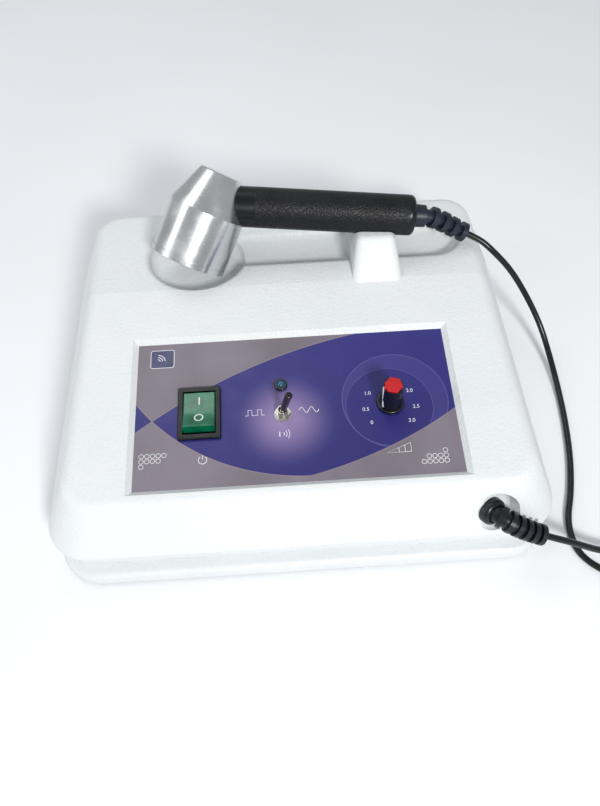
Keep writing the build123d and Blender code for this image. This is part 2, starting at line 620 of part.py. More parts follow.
DRAWER_W, DRAWER_H, DRAWER_DEEP, DRAWER_DROP = 20.0, 6.4, 20.0, -7.6
with BuildPart() as mains_inlet:
    with BuildSketch(INLET_FACE):
        RectangleRounded(50.0, 30.0, 3.0)
        with Locations((-INLET_PITCH / 2, 0), (INLET_PITCH / 2, 0)):
            Circle(1.7, mode=Mode.SUBTRACT)
    extrude(amount=INLET_FLANGE_T)
    fillet(mains_inlet.faces().sort_by(Axis.Y)[-1].outer_wire().edges(), radius=0.8)
    with BuildSketch(INLET_FACE):
        Rectangle(INLET_BODY_W, INLET_BODY_H)
    extrude(amount=-INLET_BODY_DEEP)
    # appliance socket with its two clipped corners, and the well of the fuse drawer
    with BuildSketch(INLET_FACE.offset(INLET_FLANGE_T)):
        with Locations((0, 4.6)):
            with BuildLine():
                Polyline((-11.8, -6.0), (11.8, -6.0), (11.8, 2.6), (8.0, 6.2), (-8.0, 6.2), (-11.8, 2.6),
                         close=True)
            make_face()
    extrude(amount=-17, mode=Mode.SUBTRACT)
    with BuildSketch(INLET_FACE.offset(INLET_FLANGE_T)):
        with Locations((0, DRAWER_DROP)):
            Rectangle(DRAWER_W + 0.6, DRAWER_H + 0.6)
    extrude(amount=-(DRAWER_DEEP + 1.5), mode=Mode.SUBTRACT)
mains_inlet.part.label = "mains_inlet"
export_step(mains_inlet.part, "parts/mains_inlet.step")

with BuildPart() as inlet_pins:
    with BuildSketch(INLET_FACE.offset(-14.4)):
        with Locations((-7.0, 3.0), (7.0, 3.0), (0, 7.2)):
            Rectangle(2.0, 4.0)
    extrude(amount=12.5)
    with BuildSketch(INLET_FACE.offset(-INLET_BODY_DEEP)):
        with Locations((-7.0, 3.0), (7.0, 3.0), (0, 7.2)):
            Rectangle(0.8, 4.6)
    extrude(amount=-7)
inlet_pins.part.label = "inlet_pins"
export_step(inlet_pins.part, "parts/inlet_pins.step")

with BuildPart() as inlet_screws:
    with BuildSketch(INLET_FACE.offset(INLET_FLANGE_T)):
        with Locations((-INLET_PITCH / 2, 0), (INLET_PITCH / 2, 0)):
            Circle(2.8)
    extrude(amount=1.6)
    heads = inlet_screws.faces().sort_by(Axis.Y)[-2:]
    fillet(heads[0].edges() + heads[1].edges(), radius=0.8)
    with BuildSketch(INLET_FACE.offset(INLET_FLANGE_T)):
        with Locations((-INLET_PITCH / 2, 0), (INLET_PITCH / 2, 0)):
            Circle(1.25)
    extrude(amount=-9)
    with BuildSketch(INLET_FACE.offset(INLET_FLANGE_T + 1.6)):
        with Locations((-INLET_PITCH / 2, 0), (INLET_PITCH / 2, 0)):
            Rectangle(3.4, 0.7)
            Rectangle(0.7, 3.4)
    extrude(amount=-0.9, mode=Mode.SUBTRACT)
inlet_screws.part.label = "inlet_screws"
export_step(inlet_screws.part, "parts/inlet_screws.step")

with BuildPart() as fuse_drawer:
    with BuildSketch(INLET_FACE.offset(INLET_FLANGE_T + 0.3)):
        with Locations((0, DRAWER_DROP)):
            RectangleRounded(DRAWER_W + 1.6, DRAWER_H + 1.2, 0.8)
    extrude(amount=1.5)
    with BuildSketch(INLET_FACE.offset(INLET_FLANGE_T + 1.8)):
        with Locations((0, DRAWER_DROP - 2.0)):
            Rectangle(8.0, 1.6)
    extrude(amount=-0.7, mode=Mode.SUBTRACT)
    with BuildSketch(INLET_FACE.offset(INLET_FLANGE_T + 0.3)):
        with Locations((0, DRAWER_DROP)):
            Rectangle(DRAWER_W, DRAWER_H)
    extrude(amount=-DRAWER_DEEP)
    with BuildSketch(INLET_FACE.offset(1.6)):
        with Locations((0, DRAWER_DROP + 1.3)):
            Rectangle(DRAWER_W - 9.0, DRAWER_H)
    extrude(amount=-(DRAWER_DEEP - 4.0), mode=Mode.SUBTRACT)
fuse_drawer.part.label = "fuse_drawer"
export_step(fuse_drawer.part, "parts/fuse_drawer.step")

with BuildPart() as fuse:
    with BuildSketch(INLET_FACE.offset(0.6)):
        with Locations((0, DRAWER_DROP + 0.4)):
            Circle(2.3)
    extrude(amount=-13)
    with BuildSketch(INLET_FACE.offset(0.6)):
        with Locations((0, DRAWER_DROP + 0.4)):
            Circle(2.5)
    extrude(amount=-3.5)
    with BuildSketch(INLET_FACE.offset(0.6 - 9.5)):
        with Locations((0, DRAWER_DROP + 0.4)):
            Circle(2.5)
    extrude(amount=-3.5)
fuse.part.label = "fuse"
export_step(fuse.part, "parts/fuse.step")

# ================= inside the case =================

XFMR_X, XFMR_Y = -88.0, 22.0
CORE_W, CORE_D, CORE_H, LIMB = 57.0, 24.0, 47.0, 9.5
BRACKET_T, BOLT_REACH = 1.6, 35.0
with BuildPart() as transformer_core:
    with BuildSketch(Plane(origin=(XFMR_X, XFMR_Y, FLOOR_Z + BRACKET_T), x_dir=(1, 0, 0), z_dir=(0, -1, 0))):
        Rectangle(CORE_W, CORE_H, align=(Align.CENTER, Align.MIN))
        for side in (-1, 1):
            with Locations((side * (LIMB / 2 + 9.5 / 2 + 4.6), CORE_H / 2)):
                Rectangle(9.2, CORE_H - 2 * LIMB, mode=Mode.SUBTRACT)
    extrude(amount=CORE_D / 2, both=True)
    chamfer(transformer_core.edges().filter_by(Axis.Y).group_by(Axis.Z)[-1], length=1.0)
transformer_core.part.label = "transformer_core"
export_step(transformer_core.part, "parts/transformer_core.step")

with BuildPart() as transformer_winding:
    with BuildSketch(Plane.XY.offset(FLOOR_Z + BRACKET_T + LIMB + 0.2)):
        with Locations((XFMR_X, XFMR_Y)):
            RectangleRounded(36.4, CORE_D + 17, 5.0)
            Rectangle(19.2, CORE_D + 0.2, mode=Mode.SUBTRACT)
    extrude(amount=CORE_H - 2 * LIMB - 0.4)
transformer_winding.part.label = "transformer_winding"
export_step(transformer_winding.part, "parts/transformer_winding.step")

with BuildPart() as transformer_bracket:
    with BuildSketch(Plane.XY.offset(FLOOR_Z)):
        with Locations((XFMR_X, XFMR_Y)):
            RectangleRounded(80.0, CORE_D, 3.0)
            with GridLocations(2 * BOLT_REACH, 1, 2, 1):
                Circle(2.1, mode=Mode.SUBTRACT)
    extrude(amount=BRACKET_T)
    for side in (-1, 1):
        with BuildSketch(Plane.XY.offset(FLOOR_Z)):
            with Locations((XFMR_X + side * (CORE_W / 2 + 0.6), XFMR_Y)):
                Rectangle(1.0, CORE_D - 4)
        extrude(amount=CORE_H - 4)
transformer_bracket.part.label = "transformer_bracket"
export_step(transformer_bracket.part, "parts/transformer_bracket.step")

with BuildPart() as transformer_screws:
    bracket_z = FLOOR_Z + BRACKET_T
    for radius, low, high in ((1.9, bracket_z - 4.0, bracket_z), (3.6, bracket_z, bracket_z + 2.0)):
        with BuildSketch(Plane.XY.offset(low)):
            with Locations((XFMR_X - BOLT_REACH, XFMR_Y), (XFMR_X + BOLT_REACH, XFMR_Y)):
                Circle(radius)
        extrude(amount=high - low)
transformer_screws.part.label = "transformer_screws"
export_step(transformer_screws.part, "parts/transformer_screws.step")

BOARD_X, BOARD_Y, BOARD_W, BOARD_D, BOARD_T = 46.0, -8.0, 146.0, 100.0, 1.6
HOLE_IN = 5.0           # from the board's edges to its screws
BOARD_Z = FLOOR_Z + 7.0
BOARD_TOP = BOARD_Z + BOARD_T
with BuildPart() as main_board:
    with BuildSketch(Plane.XY.offset(BOARD_Z)):
        with Locations((BOARD_X, BOARD_Y)):
            RectangleRounded(BOARD_W, BOARD_D, 2.0)
            with GridLocations(BOARD_W - 2 * HOLE_IN, BOARD_D - 2 * HOLE_IN, 2, 2):
                Circle(1.6, mode=Mode.SUBTRACT)
    extrude(amount=BOARD_T)
main_board.part.label = "main_board"
export_step(main_board.part, "parts/main_board.step")

with BuildPart() as board_standoffs:
    with BuildSketch(Plane.XY.offset(FLOOR_Z)):
        with Locations((BOARD_X, BOARD_Y)):
            with GridLocations(BOARD_W - 2 * HOLE_IN, BOARD_D - 2 * HOLE_IN, 2, 2):
                RegularPolygon(3.2, 6)
                Circle(1.25, mode=Mode.SUBTRACT)
    extrude(amount=BOARD_Z - FLOOR_Z)
board_standoffs.part.label = "board_standoffs"
export_step(board_standoffs.part, "parts/board_standoffs.step")

with BuildPart() as board_screws:
    for radius, low, high in ((1.2, BOARD_TOP - 6.0, BOARD_TOP), (2.7, BOARD_TOP, BOARD_TOP + 1.8)):
        with BuildSketch(Plane.XY.offset(low)):
            with Locations((BOARD_X, BOARD_Y)):
                with GridLocations(BOARD_W - 2 * HOLE_IN, BOARD_D - 2 * HOLE_IN, 2, 2):
                    Circle(radius)
        extrude(amount=high - low)
board_screws.part.label = "board_screws"
export_step(board_screws.part, "parts/board_screws.step")

with BuildPart() as capacitors:
    for x, y, radius, high in ((-8, 22, 8.0, 25.0), (12, 24, 8.0, 25.0), (-14, -2, 5.0, 13.0),
                               (0, -4, 5.0, 13.0), (100, -40, 4.0, 11.0), (100, -28, 4.0, 11.0)):
        with BuildSketch(Plane.XY.offset(BOARD_TOP)):
            with Locations((x, y)):
                Circle(radius)
        extrude(amount=high)
capacitors.part.label = "capacitors"
export_step(capacitors.part, "parts/capacitors.step")

SINK_X, SINK_Y, SINK_W = 72.0, 26.0, 64.0
with BuildPart() as heatsink:
    with BuildSketch(Plane.XY.offset(BOARD_TOP)):
        with Locations((SINK_X, SINK_Y)):
            Rectangle(SINK_W, 3.0, align=(Align.CENTER, Align.MAX))
            with GridLocations((SINK_W - 1.4) / 8, 1, 9, 1):
                Rectangle(1.4, 11.0, align=(Align.CENTER, Align.MIN))
    extrude(amount=32)
heatsink.part.label = "heatsink"
export_step(heatsink.part, "parts/heatsink.step")

with BuildPart() as power_transistors:
    with BuildSketch(Plane.XY.offset(BOARD_TOP + 6)):
        with Locations((SINK_X - 16, SINK_Y - 3), (SINK_X + 16, SINK_Y - 3)):
            Rectangle(10.2, 4.5, align=(Align.CENTER, Align.MAX))
    extrude(amount=15)
    with BuildSketch(Plane.XY.offset(BOARD_TOP)):
        for middle in (SINK_X - 16, SINK_X + 16):
            with Locations((middle, SINK_Y - 5.5)):
                with GridLocations(2.54, 1, 3, 1):
                    Rectangle(0.9, 0.6)
    extrude(amount=6)
power_transistors.part.label = "power_transistors"
export_step(power_transistors.part, "parts/power_transistors.step")

with BuildPart() as output_core:
    with BuildSketch(Plane(origin=(92.0, -6.0, BOARD_TOP + 12.5), x_dir=(1, 0, 0), z_dir=(0, -1, 0))):
        Circle(12.4)
        Circle(6.5, mode=Mode.SUBTRACT)
    extrude(amount=4.5, both=True)
    fillet(output_core.edges(), radius=1.0)
output_core.part.label = "output_core"
export_step(output_core.part, "parts/output_core.step")

with BuildPart() as circuit_chips:
    for x, y, wide, deep, high in ((30, -30, 26, 8, 3.6), (30, -46, 20, 8, 3.6), (62, -36, 14, 14, 2.6),
                                   (62, -10, 20, 8, 3.6), (42, 0, 12, 5, 3.4)):
        with BuildSketch(Plane.XY.offset(BOARD_TOP)):
            with Locations((x, y)):
                Rectangle(wide, deep)
        extrude(amount=high)
circuit_chips.part.label = "circuit_chips"
export_step(circuit_chips.part, "parts/circuit_chips.step")

with BuildPart() as pin_headers:
    for x, y, pins in ((-18, -40, 4), (-18, -24, 3), (84, -52, 5), (112, 10, 3)):
        with BuildSketch(Plane.XY.offset(BOARD_TOP)):
            with Locations((x, y)):
                Rectangle(6.0, pins * 2.54 + 2)
                Rectangle(4.0, pins * 2.54 + 0.6, mode=Mode.SUBTRACT)
        extrude(amount=8)
        with BuildSketch(Plane.XY.offset(BOARD_TOP)):
            with Locations((x, y)):
                Rectangle(6.0, pins * 2.54 + 2)
        extrude(amount=2)
pin_headers.part.label = "pin_headers"
export_step(pin_headers.part, "parts/pin_headers.step")

# ================= handpiece =================

BORE_R, FACE_T, DISC_R, DISC_T = 19.0, 2.0, 15.0, 2.1
FACE_IN, TUBE_R = 2.0, 7.4
with BuildPart() as head_body:
    with BuildSketch(HEAD):
        Circle(HEAD_R)
    extrude(amount=SEAM_UP)
    with BuildSketch(HEAD.offset(SEAM_UP)):
        Circle(HEAD_R)
    with BuildSketch(HEAD.offset(HEAD_TOP)):
        Circle(HEAD_TOP_R)
    loft()
    chamfer(head_body.edges().sort_by(lambda edge: (edge.center() - HEAD.origin).dot(HEAD_DIR))[-1],
            length=0.6)
    with BuildSketch(HEAD):
        Circle(BORE_R)
    extrude(amount=SEAM_UP - 2, mode=Mode.SUBTRACT)
    # seat of the face plate, turned grooves at the rim and at the seam
    with BuildSketch(HEAD):
        Circle(HEAD_R - FACE_IN)
    extrude(amount=FACE_T, mode=Mode.SUBTRACT)
    for up, deep in ((3.4, 0.5), (SEAM_UP - 0.3, 0.35)):
        with BuildSketch(HEAD.offset(up)):
            Circle(HEAD_R + 1)
            Circle(HEAD_R - deep, mode=Mode.SUBTRACT)
        extrude(amount=0.6, mode=Mode.SUBTRACT)
    # bore for the inner tube of the handle
    with BuildSketch(grip_plane(8)):
        Circle(TUBE_R + 0.1)
    extrude(amount=40, mode=Mode.SUBTRACT)
head_body.part.label = "head_body"
export_step(head_body.part, "parts/head_body.step")

with BuildPart() as face_plate:
    with BuildSketch(HEAD):
        Circle(HEAD_R - FACE_IN - 0.05)
    extrude(amount=FACE_T)
face_plate.part.label = "face_plate"
export_step(face_plate.part, "parts/face_plate.step")

with BuildPart() as piezo_disc:
    with BuildSketch(HEAD.offset(FACE_T)):
        Circle(DISC_R)
    extrude(amount=DISC_T)
piezo_disc.part.label = "piezo_disc"
export_step(piezo_disc.part, "parts/piezo_disc.step")

with BuildPart() as face_seal:
    with BuildSketch(HEAD.offset(FACE_T)):
        Circle(BORE_R - 0.1)
        Circle(DISC_R + 0.4, mode=Mode.SUBTRACT)
    extrude(amount=2.4)
    fillet(face_seal.edges().group_by(lambda edge: round((edge.center() - HEAD.origin).dot(HEAD_DIR), 1))[-1],
           radius=0.8)
face_seal.part.label = "face_seal"
export_step(face_seal.part, "parts/face_seal.step")

with BuildPart() as backing_ring:
    with BuildSketch(HEAD.offset(FACE_T + 2.4)):
        Circle(BORE_R - 0.1)
        Circle(DISC_R - 2.5, mode=Mode.SUBTRACT)
    extrude(amount=4.0)
backing_ring.part.label = "backing_ring"
export_step(backing_ring.part, "parts/backing_ring.step")

with BuildPart() as contact_spring:
    with BuildSketch(HEAD.offset(FACE_T + DISC_T)):
        Circle(4.0)
        Circle(3.2, mode=Mode.SUBTRACT)
    extrude(amount=12.0)
contact_spring.part.label = "contact_spring"
export_step(contact_spring.part, "parts/contact_spring.step")

with BuildPart() as handle_tube:
    with BuildSketch(grip_plane(17.0)):
        Circle(TUBE_R)
        Circle(TUBE_R - 2.0, mode=Mode.SUBTRACT)
    extrude(amount=50)
handle_tube.part.label = "handle_tube"
export_step(handle_tube.part, "parts/handle_tube.step")

with BuildPart() as handle_grip:
    with BuildSketch(grip_plane(GRIP_START)):
        Circle(GRIP_R)
    extrude(amount=GRIP_END - GRIP_START)
    tail = handle_grip.edges().sort_by(lambda edge: edge.center().X)[-1]
    fillet(tail, radius=3.5)
    with BuildSketch(HEAD.offset(-1)):
        Circle(HEAD_R + 0.1)
    extrude(amount=SEAM_UP + 1, mode=Mode.SUBTRACT)
    with BuildSketch(HEAD.offset(SEAM_UP)):
        Circle(HEAD_R + 0.1)
    with BuildSketch(HEAD.offset(HEAD_TOP)):
        Circle(HEAD_TOP_R + 0.1)
    loft(mode=Mode.SUBTRACT)
    with BuildSketch(grip_plane(GRIP_START)):
        Circle(TUBE_R + 0.05)
    extrude(amount=GRIP_END - GRIP_START - 8.0, mode=Mode.SUBTRACT)
    with BuildSketch(grip_plane(GRIP_END)):
        Circle(6.1)
    extrude(amount=-10.0, mode=Mode.SUBTRACT)
handle_grip.part.label = "handle_grip"
export_step(handle_grip.part, "parts/handle_grip.step")

RELIEF_TIP = Vector(118.6, 70.4, 79.6)
RELIEF_TIP_DIR = Vector(0.91, -0.21, -0.36).normalized()
with BuildPart() as handle_strain_relief:
    base = JOINT_AT + GRIP_DIR * GRIP_END
    tail_path = Bezier(base + GRIP_DIR * 7, base + GRIP_DIR * 15,
                       RELIEF_TIP - RELIEF_TIP_DIR * 10, RELIEF_TIP)
    with BuildSketch(grip_plane(GRIP_END)):
        Circle(6.0)
    extrude(amount=-6)
    with BuildSketch(grip_plane(GRIP_END)):
        Circle(7.3)
    with BuildSketch(grip_plane(GRIP_END + 7)):
        Circle(6.9)
    loft()
    for t in (0.0, 0.33, 0.66, 1.0):
        with BuildSketch(Plane(origin=tail_path @ t, z_dir=tail_path % t)):
            Circle(4.6 - 1.2 * t)
    loft()
    for step in range(4):
        t = (step + 0.75) / 4.1
        with BuildSketch(Plane(origin=tail_path @ t, z_dir=tail_path % t)):
            Circle(6.9 - 0.7 * t)
        extrude(amount=1.7, both=True)
handle_strain_relief.part.label = "handle_strain_relief"
export_step(handle_strain_relief.part, "parts/handle_strain_relief.step")

# ================= lead =================

def corner_radii(points):
    """Arc radius at each inner point: 0.45 of the shorter run over the tangent of half the turn."""
    radii = []
    for before, here, after in zip(points, points[1:], points[2:]):
        run_in, run_out = here - before, after - here
        half_turn = radians(run_in.get_angle(run_out)) / 2
        radii.append(0.45 * min(run_in.length, run_out.length) / tan(half_turn))
    return radii


COIL_START = Vector(COIL_X, COIL_Y - COIL_R, LEAD_R)
COIL_END = Vector(COIL_X, COIL_Y + COIL_R, LEAD_R)
# from the handpiece: over the edge of the deck, down to the table, forwards, and under the other end
OUT_ROUTE = [RELIEF_TIP, Vector(127.7, 68.3, 76.0), Vector(136, 62.5, 71), Vector(150.3, 57.7, 57),
             Vector(163.4, 49.6, 39), Vector(174.5, 37.3, 21.5), Vector(179.9, 19.7, 8.5),
             Vector(181.3, -3.2, 2.5), Vector(179.2, -30.5, 2), Vector(174.7, -60, 2),
             Vector(168.3, -84, 2), Vector(162.4, -98.5, 2), Vector(160.6, -110, 2),
             Vector(162, -122, 2), Vector(169, -131.5, 2), Vector(180, -138, 2), Vector(193, -143.2, 2),
             Vector(207, -148.6, 2), Vector(219.5, -153.2, 2), COIL_START]
# from the coil back to the gland, over the other run
BACK_ROUTE = [COIL_END, Vector(218, -111.3, 2), Vector(206, -116.8, 2.3), Vector(193.5, -122.6, 4.2),
              Vector(180.5, -126.3, 8.4), Vector(167.5, -126.6, 14.8), Vector(155, -125.6, 22.4),
              Vector(143.3, -124.3, 27.8), GLAND_TIP]
for name, route in (("handpiece_lead", OUT_ROUTE), ("return_lead", BACK_ROUTE)):
    radii = corner_radii(route)
    with BuildPart() as lead:
        with BuildLine() as path:
            FilletPolyline(*route, radius=radii)
        run = path.wire()
        with BuildSketch(Plane(origin=run @ 0, z_dir=run % 0)):
            Circle(LEAD_R)
        sweep(path=run)
    lead.part.label = name
    export_step(lead.part, f"parts/{name}.step")
    print(name, "radii", [round(r, 1) for r in radii], "length", round(run.length, 1),
          "volume ratio", round(lead.part.volume / (pi * LEAD_R ** 2 * run.length), 4))

with BuildPart() as lead_coil:
    with BuildSketch(Plane(origin=(COIL_X, COIL_Y, 0), x_dir=(1, 0, 0), z_dir=(0, -1, 0))):
        with Locations((COIL_R, COIL_HIGH / 2)):
            RectangleRounded(COIL_WIDE, COIL_HIGH, 2.5)
    revolve(axis=Axis((COIL_X, COIL_Y, 0), (0, 0, 1)))
lead_coil.part.label = "lead_coil"
export_step(lead_coil.part, "parts/lead_coil.step")

with BuildPart() as lead_tie:
    with BuildSketch(Plane(origin=(COIL_X, COIL_Y, 0), x_dir=(1, 0, 0), z_dir=(0, -1, 0))):
        with Locations((COIL_R, COIL_HIGH / 2 + 0.6)):
            RectangleRounded(COIL_WIDE + 2.4, COIL_HIGH + 1.2, 3.0)
            RectangleRounded(COIL_WIDE, COIL_HIGH - 0.6, 2.0, mode=Mode.SUBTRACT)
    extrude(amount=4, both=True)
lead_tie.part.label = "lead_tie"
export_step(lead_tie.part, "parts/lead_tie.step")
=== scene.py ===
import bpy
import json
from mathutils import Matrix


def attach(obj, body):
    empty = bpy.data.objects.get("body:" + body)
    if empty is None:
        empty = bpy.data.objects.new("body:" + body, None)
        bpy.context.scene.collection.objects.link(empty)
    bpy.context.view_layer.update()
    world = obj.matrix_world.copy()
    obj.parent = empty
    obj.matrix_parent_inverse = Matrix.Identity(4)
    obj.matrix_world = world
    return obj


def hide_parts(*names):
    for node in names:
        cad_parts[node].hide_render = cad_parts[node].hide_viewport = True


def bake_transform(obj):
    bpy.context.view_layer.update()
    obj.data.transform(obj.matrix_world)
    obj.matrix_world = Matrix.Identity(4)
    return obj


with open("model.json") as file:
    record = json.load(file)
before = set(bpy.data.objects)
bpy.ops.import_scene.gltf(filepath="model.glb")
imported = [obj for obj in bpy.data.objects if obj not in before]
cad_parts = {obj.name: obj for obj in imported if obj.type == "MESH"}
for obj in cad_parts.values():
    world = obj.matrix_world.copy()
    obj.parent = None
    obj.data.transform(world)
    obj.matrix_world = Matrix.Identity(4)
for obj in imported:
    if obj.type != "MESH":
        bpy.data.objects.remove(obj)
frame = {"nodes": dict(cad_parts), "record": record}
"""Looks of an ultrasound therapy unit: a desk case with a sloping printed panel, a turned treatment head on a
textured handle, and the lead between them. Metres, +Z up, +X to the user's right, +Y to the rear."""
import json
import logging
from dataclasses import dataclass, field
from enum import Enum
from math import cos, pi, radians, sin

import bmesh
import bpy
from mathutils import Matrix, Vector

LOG = logging.getLogger("ultrasound_unit")
MM = 0.001
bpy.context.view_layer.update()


class Legend(Enum):
    """Pictures printed on the panel, in place of words."""

    PULSED = "pulsed"
    CONTINUOUS = "continuous"
    EMISSION = "emission"
    POWER = "power"
    RAMP = "ramp"


# ------------------------------------------------------------------ materials


class Nodes:
    """Small helper that adds and joins the nodes of one material."""

    def __init__(self, name: str) -> None:
        """Start an empty material with a Principled shader.

        Args:
            name: name of the material.
        """
        self.material = bpy.data.materials.new(name)
        self.material.use_nodes = True
        self.tree = self.material.node_tree
        self.shader = self.tree.nodes["Principled BSDF"]

    def add(self, kind: str, inputs: dict | None = None, **settings) -> bpy.types.Node:
        """Add a node.

        Args:
            kind: the node's type.
            inputs: sockets to set or join, by name or number.
            settings: properties of the node.

        Returns:
            The new node.
        """
        node = self.tree.nodes.new(kind)
        for key, value in settings.items():
            setattr(node, key, value)
        for key, value in (inputs or {}).items():
            self.put(node.inputs[key], value)
        return node

    def put(self, socket: bpy.types.NodeSocket, value) -> None:
        """Set a socket to a constant, or join it to an output.

        Args:
            socket: the input.
            value: a constant or an output socket.
        """
        if isinstance(value, bpy.types.NodeSocket):
            self.tree.links.new(value, socket)
        else:
            socket.default_value = value

    def math(self, operation: str, a, b=0.0, clamp: bool = False) -> bpy.types.NodeSocket:
        """Return the result of a Math node on a and b."""
        node = self.add("ShaderNodeMath", {0: a, 1: b}, operation=operation, use_clamp=clamp)
        return node.outputs[0]

    def position(self) -> bpy.types.NodeSocket:
        """Return the Object coordinates."""
        return self.add("ShaderNodeTexCoord").outputs["Object"]

    def noise(self, scale: float, detail: float = 2.0, at=None, roughness: float = 0.5) -> bpy.types.NodeSocket:
        """Return a noise value.

        Args:
            scale: size of the pattern, per metre.
            detail: octaves.
            at: coordinates, the object's own by default.
            roughness: weight of the finer octaves.

        Returns:
            The noise's Factor output.
        """
        where = self.position() if at is None else at
        node = self.add("ShaderNodeTexNoise", {"Vector": where, "Scale": scale, "Detail": detail,
                                               "Roughness": roughness})
        return node.outputs[0]

    def ramp(self, value, low: float, high: float, to_low: float = 0.0, to_high: float = 1.0):
        """Return value mapped smoothly from low..high to to_low..to_high."""
        node = self.add("ShaderNodeMapRange", {"Value": value, "From Min": low, "From Max": high,
                                               "To Min": to_low, "To Max": to_high},
                        interpolation_type="SMOOTHSTEP")
        return node.outputs[0]

    def mix(self, share, first, second) -> bpy.types.NodeSocket:
        """Return a colour between first and second."""
        node = self.add("ShaderNodeMix", data_type="RGBA")
        self.put(node.inputs[0], share)
        self.put(node.inputs[6], first)
        self.put(node.inputs[7], second)
        return node.outputs[2]

    def bump(self, height, depth: float, strength: float = 1.0) -> bpy.types.NodeSocket:
        """Return a bumped normal of the given height field and depth in metres."""
        node = self.add("ShaderNodeBump", {"Height": height, "Distance": depth, "Strength": strength})
        return node.outputs[0]


def tint(code: str, alpha: float = 1.0) -> tuple[float, float, float, float]:
    """Turn a screen colour into a linear one.

    Args:
        code: six hexadecimal digits.
        alpha: opacity.

    Returns:
        Linear red, green, blue and alpha.
    """
    parts = [int(code[i:i + 2], 16) / 255 for i in (0, 2, 4)]
    linear = [c / 12.92 if c <= 0.04045 else ((c + 0.055) / 1.055) ** 2.4 for c in parts]
    return (*linear, alpha)


@dataclass(frozen=True)
class Finish:
    """A plain moulded, rubber or metal finish with uneven colour, uneven gloss and a fine grain."""

    name: str
    colour: str
    shade: str
    roughness: float = 0.5
    metallic: float = 0.0
    grain: float = 900.0
    grain_depth: float = 0.00005
    coat: float = 0.0
    specular: float = 0.5

    def build(self) -> bpy.types.Material:
        """Build the material."""
        nodes = Nodes(self.name)
        cloud = nodes.ramp(nodes.noise(35.0, 4.0), 0.3, 0.7)
        nodes.put(nodes.shader.inputs["Base Color"], nodes.mix(cloud, tint(self.colour), tint(self.shade)))
        gloss = nodes.ramp(nodes.noise(110.0, 3.0), 0.3, 0.7, self.roughness - 0.05, self.roughness + 0.06)
        nodes.put(nodes.shader.inputs["Roughness"], gloss)
        nodes.shader.inputs["Metallic"].default_value = self.metallic
        nodes.shader.inputs["Specular IOR Level"].default_value = self.specular
        nodes.shader.inputs["Coat Weight"].default_value = self.coat
        nodes.shader.inputs["Coat Roughness"].default_value = 0.12
        grain = nodes.noise(self.grain, 3.0)
        nodes.put(nodes.shader.inputs["Normal"], nodes.bump(grain, self.grain_depth))
        return nodes.material


@dataclass(frozen=True)
class PebbleShell:
    """Off-white moulded shell with a pebbled skin, painted shade in the hollows between the pebbles, and faint
    handling marks.
    """

    name: str
    colour: str
    shade: str
    pebble: float = 640.0
    pebble_depth: float = 0.00011

    def build(self) -> bpy.types.Material:
        """Build the material."""
        nodes = Nodes(self.name)
        at = nodes.position()
        warp = nodes.add("ShaderNodeTexNoise", {"Vector": at, "Scale": 260.0, "Detail": 2.0}).outputs["Color"]
        bent = nodes.add("ShaderNodeVectorMath", {0: warp, 1: (0.0022, 0.0022, 0.0022)},
                         operation="MULTIPLY").outputs[0]
        moved = nodes.add("ShaderNodeVectorMath", {0: at, 1: bent}, operation="ADD").outputs[0]
        cells = nodes.add("ShaderNodeTexVoronoi", {"Vector": moved, "Scale": self.pebble},
                          feature="SMOOTH_F1").outputs["Distance"]
        pebbles = nodes.ramp(cells, 0.12, 0.62, 1.0, 0.0)
        fine = nodes.noise(2600.0, 2.0)
        skin = nodes.math("ADD", pebbles, nodes.math("MULTIPLY", fine, 0.35))
        nodes.put(nodes.shader.inputs["Normal"], nodes.bump(skin, self.pebble_depth))
        cloud = nodes.ramp(nodes.noise(9.0, 5.0, roughness=0.6), 0.3, 0.75)
        base = nodes.mix(cloud, tint(self.colour), tint(self.shade))
        speck = nodes.ramp(nodes.noise(420.0, 2.0), 0.80, 0.86)
        marked = nodes.mix(nodes.math("MULTIPLY", speck, 0.25), base, tint("8f9296"))
        # painted shade: the hollows between the pebbles are darkened towards grey b9bec2
        hollow = nodes.ramp(cells, 0.45, 0.75, 0.0, 0.08)
        nodes.put(nodes.shader.inputs["Base Color"], nodes.mix(hollow, marked, tint("b9bec2")))
        wear = nodes.ramp(nodes.noise(60.0, 4.0), 0.35, 0.7, 0.40, 0.52)
        nodes.put(nodes.shader.inputs["Roughness"], wear)
        nodes.shader.inputs["Specular IOR Level"].default_value = 0.42
        return nodes.material


